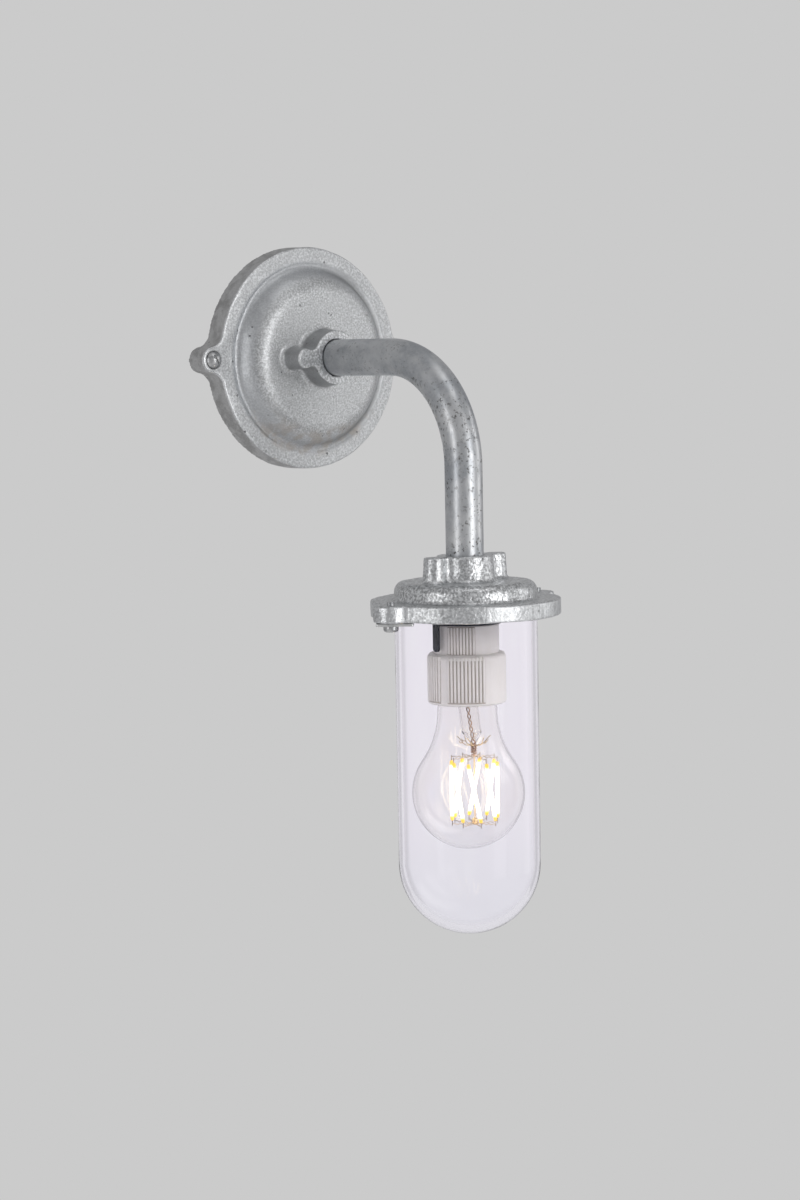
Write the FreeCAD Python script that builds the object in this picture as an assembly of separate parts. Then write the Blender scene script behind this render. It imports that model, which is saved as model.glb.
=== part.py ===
import FreeCAD, Part
import math
import os

os.makedirs("parts", exist_ok=True)

# A wall light on a bent arm: a cast plate on the wall, a tube that reaches out
# and turns down, and a cast head with a clear well glass round a screw-in lamp.
# The wall is the plane y = 0 and the light stands on its -Y side. Z is up.

# Arm
tube_od = 20.0
tube_wall = 1.6
arm_reach = 142.0
arm_bend_radius = 58.0
thread_gap = 0.05
edge_level_margin = 0.05

# Wall plate casting, from its domed middle out to its ears
dome_ledge = 13.7
dome_slope_run = 8.5
dome_foot_land = 2.6
dome_rise = 10.8
dome_root_round = 5.0
dome_shoulder_round = 9.0
plate_rim_width = 9.3
plate_rim_wall = 5.5
plate_depth = 13.4
plate_draft = 0.3
plate_edge_round = 0.9
plate_wall = 4.6
plate_ear_out = 4.7
plate_ear_radius = 7.3
plate_ear_blend = 8.5

# Boss with two ears, the same on both castings
boss_radius = 15.1
boss_height = 13.3
boss_draft = 0.7
boss_root_round = 1.6
boss_ear_offset = 21.4
boss_ear_radius = 5.7
boss_neck_half = 4.7
boss_neck_blend = 4.0
boss_ear_blend = 3.0

# Head casting
flange_under = -136.3
flange_thick = 9.2
flange_side_wall = 6.9
flange_edge_round = 0.8
flange_ear_radius = 9.4
flange_ear_blend = 4.0
cap_ledge = 4.4
cap_rise = 9.3
cap_draft = 1.0
cap_shoulder_round = 5.2
cap_root_round = 1.4
cap_wall = 4.2
cap_inner_round = 2.5

# Well glass, its gasket and clips
lamp_side_room = 4.75
lamp_foot_room = 7.9
glass_wall = 3.0
glass_lip_width = 5.25
glass_lip_thick = 3.4
glass_lip_round = 1.2
glass_crown_extra = 1.0
glass_side_gap = 0.6
gasket_thick = 2.0
gasket_under_wall = 1.75
clip_stand_off = 13.65
clip_thick = 1.4
clip_half_width = 5.8
clip_tail = 7.6
clip_reach = 11.8
clip_corner_round = 1.0
clip_gap = 0.1
clip_turned_degrees = 41.0
clip_screw_radius = 2.0
clip_screw_gap = 0.1
clip_ear_gap = 0.3
clip_screw_head_radius = 4.0
clip_screw_head_height = 3.3
clip_screw_tip = 1.6

# Wall screws, slotted with round heads
wall_screw_radius = 2.4
wall_screw_thread_radius = 2.2
wall_screw_gap = 0.4
wall_screw_length = 19.0
wall_screw_chamfer = 0.8
wall_screw_head_radius = 4.7
wall_screw_head_height = 3.1
screw_slot_width = 1.1
screw_slot_depth = 1.3
wall_slot_degrees = 61.0

# Lampholder bracket, pressed from strip
strip_thick = 1.2
strip_half_width = 6.0
bracket_disc_edge = 1.4
bracket_drop = 3.9
bracket_riser_gap = 0.5
bracket_leg_out = 2.4
bracket_leg_half_width = 2.2
bracket_leg_length = 14.0
bracket_wire_hole = 2.6
wire_drop_offset = 9.5
bracket_screw_radius = 2.0
bracket_screw_gap = 0.2
bracket_screw_grip = 7.5
pan_head_radius = 3.6
pan_head_height = 2.2
cross_width = 0.9
cross_depth = 1.2

# Lampholder
holder_neck = 15.4
holder_wall = 2.0
holder_rib_count = 9
holder_rib_height = 0.45
holder_rib_half_width = 0.5
holder_rib_pitch_degrees = 5.4
holder_band_degrees = 39.7
skirt_step = 3.6
skirt_past_cap = 2.3
skirt_shoulder_round = 3.0
skirt_foot_round = 1.4
skirt_wall = 2.2
skirt_gap = 0.1
skirt_rib_count = 19
skirt_rib_pitch_degrees = 5.2
skirt_band_degrees = 27.0
holder_neck_below = 3.6
insert_gap = 0.2
insert_thick = 5.4
shell_gap = 0.2
shell_room = 0.9
shell_wall = 0.4
shell_length = 21.5
shell_ring_depth = 0.8
shell_ring_count = 5
contact_strip_thick = 0.4
contact_strip_half_width = 2.5
contact_strip_half_length = 6.0
contact_tongue_half = 3.0
clamp_half = 2.6
clamp_height = 5.0
clamp_gap = 0.1
clamp_screw_radius = 1.3
clamp_screw_proud = 1.2
contact_spring_room = 1.2

# Lamp
lamp_radius = 30.0
lamp_wall = 1.0
lamp_neck_swell = 2.9
lamp_neck_height = 43.7
lamp_seal_rise = 6.7
lamp_cap_radius = 13.1
lamp_cap_wall = 0.35
lamp_cap_length = 22.5
lamp_cap_ring_depth = 1.0
lamp_cap_ring_count = 5
lamp_cap_rim_radius = 13.5
lamp_cap_rim_height = 3.0
lamp_cap_top_radius = 9.0
lamp_cap_slope = 2.5
insulator_height = 2.2
insulator_top_radius = 5.0
tip_radius = 4.4
tip_height = 1.0
tip_gap = 0.3
stem_foot_gap = 0.1
stem_flare = 9.0
stem_radius = 3.2
stem_lead = 7.3
stem_tip_radius = 1.6
cage_lean = 3.2
cage_lean_degrees = -39.8
filament_count = 8
filament_radius = 0.9
filament_length = 31.2
filament_above = 0.9
filament_circle = 12.5
filament_twist_degrees = 30.0
filament_turn_degrees = 33.7
frame_lead = 2.6
frame_wire_radius = 0.35
driver_gap = 0.3
driver_thick = 1.6
driver_can_radius = 3.2
driver_can_height = 6.5
driver_can_offset = 4.5

# Wiring
wire_radius = 1.35
wire_offset = 1.9
wire_bend = 6.0
wire_bite = 3.0
wire_gap = 0.3
bush_wall = 1.0
bush_length = 5.0
bush_lip = 1.2
block_half_length = 15.0
block_half_width = 7.5
block_height = 11.0
block_offset = 24.0
block_bar_radius = 3.0
block_bar_inset = 0.8
block_round = 1.2
block_pitch = 9.6
block_pad_radius = 4.0
block_pad_height = 2.0
block_pad_offset = 4.8
block_screw_radius = 1.3
block_screw_bite = 4.5
block_screw_gap = 0.2
terminal_screw_sink = 0.8
earth_screw_radius = 2.0
earth_screw_length = 5.5
earth_hole_depth = 6.5
earth_tag_radius = 4.2
earth_tag_thick = 0.8
earth_barrel_wall = 0.6
earth_barrel_length = 5.5
earth_loop_rise = 6.5
earth_loop_drop = 8.0
cut_overrun = 1.0

# Sizes across that follow from the sizes above
boss_reach = boss_ear_offset + boss_ear_radius + boss_draft
dome_brow_radius = boss_reach + dome_ledge
dome_foot_radius = dome_brow_radius + dome_slope_run
plate_rim_inner = dome_foot_radius + dome_foot_land
plate_radius = plate_rim_inner + plate_rim_width
plate_cavity_radius = plate_radius - plate_rim_wall
plate_ear_offset = plate_radius + plate_ear_out
cap_radius = boss_reach + cap_ledge + cap_shoulder_round + cap_draft
glass_radius = lamp_radius + lamp_side_room + glass_wall
glass_lip_radius = glass_radius + glass_lip_width
gasket_inner = glass_radius - gasket_under_wall
flange_ear_offset = glass_radius + clip_stand_off
recess_radius = glass_lip_radius + glass_side_gap
flange_radius = recess_radius + flange_side_wall
bracket_riser_out = boss_ear_offset - pan_head_radius - bracket_riser_gap
lamp_neck_radius = lamp_cap_radius + lamp_neck_swell
shell_crest = lamp_cap_radius + shell_gap + shell_wall + shell_ring_depth
holder_radius = shell_crest + shell_room + holder_wall
skirt_radius = holder_radius + skirt_step
bracket_disc_radius = holder_radius + bracket_disc_edge

# Heights and faces that follow from the sizes above
dome_face = plate_depth + dome_rise
boss_face = dome_face + boss_height
flange_top = flange_under + flange_thick
cap_top = flange_top + cap_rise
boss_top = cap_top + boss_height
cap_ceiling = cap_top - cap_wall
dome_ceiling = dome_face - plate_wall
tube_radius = tube_od / 2
tube_bore = tube_radius - tube_wall
recess_top = flange_under + glass_lip_thick + gasket_thick
tube_foot = cap_ceiling
bracket_disc_under = flange_under - bracket_drop
holder_top = bracket_disc_under
clamp_top = holder_top - holder_wall - clamp_gap
insert_top = clamp_top - clamp_height
insert_under = insert_top - insert_thick
contact_under = insert_under - contact_spring_room - contact_strip_thick
lamp_tip_top = contact_under - tip_gap
lamp_cap_top = lamp_tip_top - tip_height - insulator_height
lamp_cap_foot = lamp_cap_top - lamp_cap_length
lamp_centre = lamp_cap_foot - lamp_seal_rise - lamp_neck_height
glass_dome_centre = lamp_centre - lamp_radius - lamp_foot_room
filament_middle = lamp_centre + filament_above
skirt_top = holder_top - holder_neck
holder_bottom = lamp_cap_foot - skirt_past_cap
block_far_y = -dome_ceiling + block_pad_height
block_near_y = block_far_y + block_height
block_middle_y = block_far_y + block_height / 2
block_top_z = -block_offset + block_half_width
full_turn = 360.0


def vec(x, y, z):
    return FreeCAD.Vector(x, y, z)


# Places a flat point (across, out from the wall) on the plate's turning plane.
def on_plate(across, out):
    return vec(across, -out, 0)


# Places a flat point (across, height) on the head's turning plane.
def on_head(across, height):
    return vec(across, -arm_reach, height)


# A closed wire through flat corners, each (u, v, rounding radius).
def rounded_wire(corners, place):
    flat = [vec(u, v, 0) for u, v, radius in corners]
    trims = []
    for index, (u, v, radius) in enumerate(corners):
        here = flat[index]
        back = (flat[index - 1] - here).normalize()
        ahead = (flat[(index + 1) % len(flat)] - here).normalize()
        if radius == 0:
            trims.append((here, None, here))
            continue
        half = back.getAngle(ahead) / 2
        setback = radius / math.tan(half)
        middle = here + (back + ahead).normalize() * (radius / math.sin(half) - radius)
        trims.append((here + back * setback, middle, here + ahead * setback))
    edges = []
    for index, (start, middle, end) in enumerate(trims):
        following = trims[(index + 1) % len(trims)][0]
        if middle is not None:
            spots = [place(p.x, p.y) for p in (start, middle, end)]
            edges.append(Part.Arc(*spots).toShape())
        if (following - end).Length > Part.Vertex(end).Tolerance:
            edges.append(Part.LineSegment(place(end.x, end.y), place(following.x, following.y)).toShape())
    return Part.Wire(edges)


def turned(corners, place, foot, axis):
    return Part.Face(rounded_wire(corners, place)).revolve(foot, axis, full_turn)


# Turned about the axis that the tube leaves the wall on.
def turned_on_plate(corners):
    return turned(corners, on_plate, vec(0, 0, 0), vec(0, 1, 0))


# Turned about the drop axis of the head.
def turned_on_head(corners):
    return turned(corners, on_head, vec(0, -arm_reach, 0), vec(0, 0, 1))


def sharp(points):
    return [(u, v, 0) for u, v in points]


def rod(radius, start, direction, length):
    return Part.makeCylinder(radius, length, start, direction)


def block(low, high):
    size = high - low
    return Part.makeBox(size.x, size.y, size.z, low)


def about_drop_axis(shape, degrees):
    copy = shape.copy()
    copy.rotate(vec(0, -arm_reach, 0), vec(0, 0, 1), degrees)
    return copy


def both_sides(shape):
    return [shape, about_drop_axis(shape, full_turn / 2)]


def fuse_all(shapes):
    return shapes[0].multiFuse(shapes[1:]).removeSplitter()


def group(shapes):
    return Part.makeCompound(shapes)


# The four quarters of an outline, from the one between +u and +v.
def mirrored_wire(quarter, place):
    edges = []
    for flip_u in (1, -1):
        for flip_v in (1, -1):
            for points in quarter:
                spots = [place(p[0] * flip_u, p[1] * flip_v) for p in points]
                maker = Part.Arc if len(spots) > 2 else Part.LineSegment
                edges.append(maker(*spots).toShape())
    return Part.Wire(Part.__sortEdges__(edges))


def on_circle(centre_u, radius, angle):
    return (centre_u + radius * math.cos(angle), radius * math.sin(angle))


# The hollow arc between two tangent points, about its own centre.
def blend_points(start, end, centre, radius):
    middle = vec((start[0] + end[0]) / 2 - centre[0], (start[1] + end[1]) / 2 - centre[1], 0)
    middle = middle.normalize() * radius
    return [start, (centre[0] + middle.x, centre[1] + middle.y), end]


# A disc with an ear on each side, blended straight into it.
def eared_quarter(disc, ear, offset, blend):
    to_disc = disc + blend
    to_ear = ear + blend
    centre_u = (to_disc ** 2 - to_ear ** 2 + offset ** 2) / (2 * offset)
    centre = (centre_u, math.sqrt(to_disc ** 2 - centre_u ** 2))
    disc_angle = math.atan2(centre[1], centre[0])
    ear_angle = math.atan2(centre[1], centre[0] - offset)
    on_ear = on_circle(offset, ear, ear_angle)
    on_disc = on_circle(0, disc, disc_angle)
    return [
        [on_circle(offset, ear, 0), on_circle(offset, ear, ear_angle / 2), on_ear],
        blend_points(on_ear, on_disc, centre, blend),
        [on_disc, on_circle(0, disc, (disc_angle + math.pi / 2) / 2), (0, disc)],
    ]


# A disc with an ear on each side at the end of a straight neck.
def necked_quarter(disc, ear, offset, half_neck, disc_blend, ear_blend):
    near_u = math.sqrt((disc + disc_blend) ** 2 - (half_neck + disc_blend) ** 2)
    near = (near_u, half_neck + disc_blend)
    far_u = offset - math.sqrt((ear + ear_blend) ** 2 - (half_neck + ear_blend) ** 2)
    far = (far_u, half_neck + ear_blend)
    disc_angle = math.atan2(near[1], near[0])
    ear_angle = math.atan2(far[1], far[0] - offset)
    on_ear = on_circle(offset, ear, ear_angle)
    on_disc = on_circle(0, disc, disc_angle)
    foot_far = (far[0], half_neck)
    foot_near = (near[0], half_neck)
    quarter = [
        [on_circle(offset, ear, 0), on_circle(offset, ear, ear_angle / 2), on_ear],
        blend_points(on_ear, foot_far, far, ear_blend),
        blend_points(foot_near, on_disc, near, disc_blend),
        [on_disc, on_circle(0, disc, (disc_angle + math.pi / 2) / 2), (0, disc)],
    ]
    if foot_far[0] > foot_near[0]:
        quarter.insert(2, [foot_far, foot_near])
    return quarter


# The eared boss, wider at its root, standing up from level_low to level_high.
def boss_solid(place_at, level_low, level_high):
    wires = []
    for grow, level in ((boss_draft, level_low), (0, level_high)):
        quarter = necked_quarter(
            boss_radius + grow, boss_ear_radius + grow, boss_ear_offset,
            boss_neck_half + grow, boss_neck_blend - grow, boss_ear_blend - grow,
        )
        wires.append(mirrored_wire(quarter, place_at(level)))
    return Part.makeLoft(wires, True, True)


def edges_at(shape, coordinate, level):
    found = []
    for edge in shape.Edges:
        if all(abs(coordinate(v.Point) - level) < edge_level_margin for v in edge.Vertexes):
            found.append(edge)
    return found


def plate_level(out):
    return lambda u, v: vec(u, -out, v)


def head_level(height):
    return lambda u, v: vec(u, v - arm_reach, height)


# Rounds the foot of a boss where it grows out of a flat top.
def root_rounded(shape, coordinate, level, radius, centre):
    reach = boss_reach + boss_draft
    foot = []
    for edge in edges_at(shape, coordinate, level):
        if all((v.Point - centre).Length < reach for v in edge.Vertexes):
            foot.append(edge)
    return shape.makeFillet(radius, foot)


# A thin wall that follows a line of corners, its thickness taken inwards.
def thin_wall(line, wall):
    return line + [(across - wall, height, radius) for across, height, radius in reversed(line)]


# Waves in a thin wall, one for each turn of a pressed screw thread.
def thread_waves(crest, depth, high, low, count):
    pitch = (high - low) / count
    line = []
    for ring in range(count):
        top = high - ring * pitch
        line.append((crest - depth, top, pitch / 4 if ring else 0))
        line.append((crest, top - pitch / 2, pitch / 4))
    line.append((crest - depth, low, 0))
    return line


def cross_recess(foot, inward, head_radius):
    arms = []
    side = vec(inward.y, inward.z, inward.x)
    for along in (side, inward.cross(side)):
        across = inward.cross(along)
        corner = foot - along * (head_radius / 2) - across * (cross_width / 2) - inward * cut_overrun
        edges = [along * head_radius, across * cross_width, inward * (cut_overrun + cross_depth)]
        base = Part.makePolygon([
            corner, corner + edges[0], corner + edges[0] + edges[1], corner + edges[1], corner
        ])
        arms.append(Part.Face(base).extrude(edges[2]))
    return arms[0].fuse(arms[1])


# A round-topped screw that points along inward, with its head's seat at foot.
def pan_screw(foot, inward, shank_radius, shank_length, head_radius, head_height):
    shank = rod(shank_radius, foot - inward * (head_height / 2), inward, shank_length + head_height / 2)
    head = rod(head_radius, foot - inward * head_height, inward, head_height)
    crown = edges_at(head, lambda p: (foot - p).dot(inward), head_height)
    head = head.makeFillet(head_height / 2, crown[:1])
    return head.fuse(shank).cut(cross_recess(foot - inward * head_height, inward, head_radius))


# Straight runs through the points, joined by arcs as large as asked or as the runs allow.
def bent_pipe(points, bend_radii, radius):
    run_share = 0.45
    spots = [vec(*p) for p in points]
    edges = []
    start = spots[0]
    for index in range(1, len(spots) - 1):
        back = spots[index - 1] - spots[index]
        ahead = spots[index + 1] - spots[index]
        room = min(back.Length, ahead.Length) * run_share
        half = back.getAngle(ahead) / 2
        bend = bend_radii[index - 1] or min(wire_bend, room * math.tan(half))
        setback = bend / math.tan(half)
        back.normalize()
        ahead.normalize()
        inner = spots[index] + (back + ahead).normalize() * (bend / math.sin(half) - bend)
        edges.append(Part.LineSegment(start, spots[index] + back * setback).toShape())
        edges.append(Part.Arc(spots[index] + back * setback, inner, spots[index] + ahead * setback).toShape())
        start = spots[index] + ahead * setback
    edges.append(Part.LineSegment(start, spots[-1]).toShape())
    ring = Part.Wire(Part.makeCircle(radius, spots[0], spots[1] - spots[0]))
    return Part.Wire(edges).makePipeShell([ring], True, False)


def wall_plate():
    wires = []
    for grow, out in ((plate_draft, 0), (0, plate_depth)):
        quarter = eared_quarter(
            plate_radius + grow, plate_ear_radius + grow, plate_ear_offset, plate_ear_blend - grow
        )
        wires.append(mirrored_wire(quarter, plate_level(out)))
    rim = Part.makeLoft(wires, True, True)
    rim = rim.makeFillet(plate_edge_round, edges_at(rim, lambda p: -p.y, plate_depth))
    dome = turned_on_plate([
        (0, plate_depth / 2, 0),
        (plate_rim_inner, plate_depth / 2, 0),
        (plate_rim_inner, plate_depth, 0),
        (dome_foot_radius, plate_depth, dome_root_round),
        (dome_brow_radius, dome_face, dome_shoulder_round),
        (0, dome_face, 0),
    ])
    casting = fuse_all([rim, dome, boss_solid(plate_level, dome_face, boss_face)])
    casting = root_rounded(casting, lambda p: -p.y, dome_face, boss_root_round, vec(0, -dome_face, 0))
    hollow = turned_on_plate(sharp([
        (0, -cut_overrun),
        (plate_cavity_radius, -cut_overrun),
        (plate_cavity_radius, plate_depth - plate_wall),
        (dome_foot_radius - plate_wall, plate_depth - plate_wall),
        (dome_brow_radius - plate_wall, dome_ceiling),
        (0, dome_ceiling),
    ]))
    casting = casting.cut(hollow)
    pads = [rod(block_pad_radius, vec(x, -dome_ceiling, -block_offset), vec(0, 1, 0), block_pad_height)
            for x in block_screw_places()]
    casting = fuse_all([casting] + pads)
    cuts = [rod(tube_radius + thread_gap, vec(0, -dome_ceiling + cut_overrun, 0), vec(0, -1, 0),
                boss_face - dome_ceiling + cut_overrun * 2)]
    for x in (-plate_ear_offset, plate_ear_offset):
        cuts.append(rod(wall_screw_radius + wall_screw_gap, vec(x, cut_overrun, 0), vec(0, -1, 0),
                        plate_depth + cut_overrun * 2))
    for x in (-boss_ear_offset, boss_ear_offset):
        cuts.append(rod(earth_screw_radius + thread_gap, vec(x, cut_overrun - dome_ceiling, 0),
                        vec(0, -1, 0), earth_hole_depth + cut_overrun))
    for x in block_screw_places():
        cuts.append(rod(block_screw_radius + thread_gap, vec(x, block_far_y, -block_offset),
                        vec(0, -1, 0), block_screw_bite))
    return casting.cut(cuts)


def block_screw_places():
    return (-block_pad_offset, block_pad_offset)


def wall_screws():
    screws = []
    seat = -plate_depth
    for x in (-plate_ear_offset, plate_ear_offset):
        crown = vec(x, seat - wall_screw_head_height, 0)
        rise = (wall_screw_head_radius ** 2 - wall_screw_head_height ** 2) / (2 * wall_screw_head_height)
        ball_radius = wall_screw_head_height + rise
        ball = Part.makeSphere(ball_radius, vec(x, seat + rise, 0))
        head = ball.common(rod(wall_screw_head_radius, crown, vec(0, 1, 0), wall_screw_head_height))
        slot = block(
            vec(x - wall_screw_head_radius, crown.y - cut_overrun, -screw_slot_width / 2),
            vec(x + wall_screw_head_radius, crown.y + screw_slot_depth, screw_slot_width / 2),
        )
        slot.rotate(crown, vec(0, 1, 0), wall_slot_degrees)
        thread_end = seat + wall_screw_length - wall_screw_chamfer
        shank = rod(wall_screw_radius, vec(x, seat - wall_screw_head_height / 2, 0), vec(0, 1, 0),
                    plate_depth + wall_screw_head_height / 2)
        thread = rod(wall_screw_thread_radius, vec(x, 0, 0), vec(0, 1, 0), thread_end)
        tip = Part.makeCone(
            wall_screw_thread_radius, wall_screw_thread_radius - wall_screw_chamfer,
            wall_screw_chamfer, vec(x, thread_end, 0), vec(0, 1, 0)
        )
        screws.append(fuse_all([head, shank, thread, tip]).cut(slot))
    return group(screws)


def arm_tube():
    route = [(0, -dome_ceiling, 0), (0, -arm_reach, 0), (0, -arm_reach, tube_foot)]
    outer = bent_pipe(route, [arm_bend_radius], tube_radius)
    inner = bent_pipe(route, [arm_bend_radius], tube_bore)
    return outer.cut(inner)


# Nylon bushes pushed into the tube's two ends, so that its edge can't chafe the wires.
def edge_bushes():
    bushes = []
    ends = (
        (vec(0, -dome_ceiling, 0), vec(0, -1, 0)),
        (vec(0, -arm_reach, tube_foot), vec(0, 0, 1)),
    )
    for mouth, inward in ends:
        sleeve = rod(tube_bore - thread_gap, mouth, inward, bush_length)
        lip = rod(tube_radius - bush_wall, mouth - inward * bush_lip, inward, bush_lip)
        bore = rod(tube_bore - bush_wall - thread_gap, mouth - inward * (bush_lip + cut_overrun), inward,
                   bush_length + bush_lip + cut_overrun * 2)
        bushes.append(sleeve.fuse(lip).cut(bore))
    return group(bushes)


def head_casting():
    wires = [mirrored_wire(
        eared_quarter(flange_radius, flange_ear_radius, flange_ear_offset, flange_ear_blend),
        head_level(level),
    ) for level in (flange_under, flange_top)]
    flange = Part.makeLoft(wires, True, True)
    rims = edges_at(flange, lambda p: p.z, flange_top) + edges_at(flange, lambda p: p.z, flange_under)
    flange = flange.makeFillet(flange_edge_round, rims)
    cap = turned_on_head([
        (0, flange_top - cap_wall, 0),
        (cap_radius + cap_root_round * 2, flange_top - cap_wall, 0),
        (cap_radius + cap_root_round * 2, flange_top, 0),
        (cap_radius, flange_top, cap_root_round),
        (cap_radius - cap_draft, cap_top, cap_shoulder_round),
        (0, cap_top, 0),
    ])
    casting = fuse_all([flange, cap, boss_solid(head_level, cap_top, boss_top)])
    centre = vec(0, -arm_reach, cap_top)
    casting = root_rounded(casting, lambda p: p.z, cap_top, boss_root_round, centre)
    hollow = turned_on_head([
        (0, flange_under - cut_overrun, 0),
        (recess_radius, flange_under - cut_overrun, 0),
        (recess_radius, recess_top, 0),
        (cap_radius - cap_wall, recess_top, 0),
        (cap_radius - cap_wall, cap_ceiling, cap_inner_round),
        (0, cap_ceiling, 0),
    ])
    cuts = [hollow]
    up = vec(0, 0, 1)
    cuts.append(rod(tube_radius + thread_gap, vec(0, -arm_reach, cap_ceiling - cut_overrun), up,
                    boss_top - cap_ceiling + cut_overrun * 2))
    for x in (-boss_ear_offset, boss_ear_offset):
        cuts.append(rod(bracket_screw_radius + thread_gap, vec(x, -arm_reach, cap_ceiling - cut_overrun),
                        up, bracket_screw_grip + cut_overrun * 2))
    for x in (-flange_ear_offset, flange_ear_offset):
        cuts.append(rod(clip_screw_radius + clip_ear_gap, vec(x, -arm_reach, flange_under - cut_overrun),
                        up, flange_thick + cut_overrun * 2))
    return casting.cut(cuts)


def glass_gasket():
    low = flange_under + glass_lip_thick
    return turned_on_head(sharp([
        (gasket_inner, low), (glass_lip_radius, low), (glass_lip_radius, recess_top),
        (gasket_inner, recess_top),
    ]))


def well_glass():
    lip_top = flange_under + glass_lip_thick
    bottom = glass_dome_centre - glass_radius
    bore = glass_radius - glass_wall
    bore_bottom = glass_dome_centre + glass_crown_extra - bore
    return turned_on_head([
        (bore, lip_top, 0),
        (glass_lip_radius, lip_top, glass_lip_round),
        (glass_lip_radius, flange_under, glass_lip_round),
        (glass_radius, flange_under, 0),
        (glass_radius, bottom, glass_radius),
        (0, bottom, 0),
        (0, bore_bottom, 0),
        (bore, bore_bottom, bore),
    ])


def glass_clip(side):
    top = flange_under - clip_gap
    corners = [(-clip_tail, -clip_half_width), (clip_reach, -clip_half_width),
               (clip_reach, clip_half_width), (-clip_tail, clip_half_width)]
    outline = rounded_wire(
        [(u, v, clip_corner_round) for u, v in corners],
        lambda u, v: vec(u - flange_ear_offset, v - arm_reach, top - clip_thick),
    )
    plate = Part.Face(outline).extrude(vec(0, 0, clip_thick))
    pivot = vec(-flange_ear_offset, -arm_reach, top)
    hole = rod(clip_screw_radius + clip_screw_gap, pivot + vec(0, 0, cut_overrun), vec(0, 0, -1),
               clip_thick + cut_overrun * 2)
    plate = plate.cut(hole)
    plate.rotate(pivot, vec(0, 0, 1), -clip_turned_degrees)
    return both_sides(plate)[side]


def clip_screws():
    foot = vec(-flange_ear_offset, -arm_reach, flange_under - clip_gap - clip_thick)
    length = clip_gap + clip_thick + flange_thick + clip_screw_tip
    screw = pan_screw(foot, vec(0, 0, 1), clip_screw_radius, length, clip_screw_head_radius,
                      clip_screw_head_height)
    return group(both_sides(screw))


def lampholder_bracket():
    disc = rod(bracket_disc_radius, vec(0, -arm_reach, bracket_disc_under), vec(0, 0, 1), strip_thick)
    holes = [rod(bracket_wire_hole, vec(x, -arm_reach, bracket_disc_under - cut_overrun), vec(0, 0, 1),
                 strip_thick + cut_overrun * 2) for x in (-wire_drop_offset, wire_drop_offset)]
    disc = disc.cut(holes)
    foot_out = boss_ear_offset + strip_half_width - strip_thick
    near = -arm_reach - strip_half_width
    far = -arm_reach + strip_half_width
    riser = block(vec(bracket_riser_out - strip_thick, near, bracket_disc_under),
                  vec(bracket_riser_out, far, cap_ceiling))
    foot = block(vec(bracket_riser_out - strip_thick, near, cap_ceiling - strip_thick),
                 vec(foot_out, far, cap_ceiling))
    foot = foot.cut(rod(bracket_screw_radius + bracket_screw_gap,
                        vec(boss_ear_offset, -arm_reach, cap_ceiling - cut_overrun - strip_thick),
                        vec(0, 0, 1), strip_thick + cut_overrun * 2))
    corners = [e for e in foot.Edges if e.Length > strip_thick / 2 and
               all(abs(v.Point.x - foot_out) < edge_level_margin for v in e.Vertexes) and
               abs(e.Vertexes[0].Point.z - e.Vertexes[-1].Point.z) > edge_level_margin]
    foot = foot.makeFillet(strip_thick, corners)
    leg_far = bracket_disc_radius + bracket_leg_out
    leg_end = bracket_disc_under - bracket_leg_length + bracket_leg_half_width
    tab = block(
        vec(bracket_disc_radius - bracket_leg_out, -arm_reach - bracket_leg_half_width, bracket_disc_under),
        vec(leg_far, -arm_reach + bracket_leg_half_width, bracket_disc_under + strip_thick),
    )
    leg = block(
        vec(leg_far - strip_thick, -arm_reach - bracket_leg_half_width, leg_end),
        vec(leg_far, -arm_reach + bracket_leg_half_width, bracket_disc_under + strip_thick),
    )
    leg_tip = rod(bracket_leg_half_width, vec(leg_far - strip_thick, -arm_reach, leg_end),
                  vec(1, 0, 0), strip_thick)
    side = fuse_all([riser, foot, tab, leg, leg_tip])
    return fuse_all([disc] + both_sides(side))


def bracket_screws():
    foot = vec(boss_ear_offset, -arm_reach, cap_ceiling - strip_thick)
    screw = pan_screw(foot, vec(0, 0, 1), bracket_screw_radius, bracket_screw_grip + strip_thick,
                      pan_head_radius, pan_head_height)
    return group(both_sides(screw))


# Upright ribs on a round wall, over two facing bands.
def band_ribs(radius, low, high, count, pitch_degrees, middle_degrees):
    ribs = []
    for index in range(count):
        rib = block(
            vec(radius - holder_rib_height, -arm_reach - holder_rib_half_width, low),
            vec(radius + holder_rib_height, -arm_reach + holder_rib_half_width, high),
        )
        rib = about_drop_axis(rib, middle_degrees + (index - (count - 1) / 2) * pitch_degrees)
        ribs.extend(both_sides(rib))
    return ribs


def holder_body():
    shell = turned_on_head([
        (0, holder_top, 0),
        (holder_radius, holder_top, holder_wall / 2),
        (holder_radius, skirt_top - holder_neck_below, 0),
        (holder_radius - holder_wall, skirt_top - holder_neck_below, 0),
        (holder_radius - holder_wall, holder_top - holder_wall, 0),
        (0, holder_top - holder_wall, 0),
    ])
    ribs = band_ribs(holder_radius, skirt_top + skirt_gap, holder_top - holder_wall, holder_rib_count,
                     holder_rib_pitch_degrees, holder_band_degrees)
    holes = [rod(wire_radius + wire_gap, vec(x, -arm_reach, holder_top + cut_overrun), vec(0, 0, -1),
                 holder_wall + cut_overrun * 2) for x in (-wire_drop_offset, wire_drop_offset)]
    return fuse_all([shell] + ribs).cut(holes)


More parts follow.
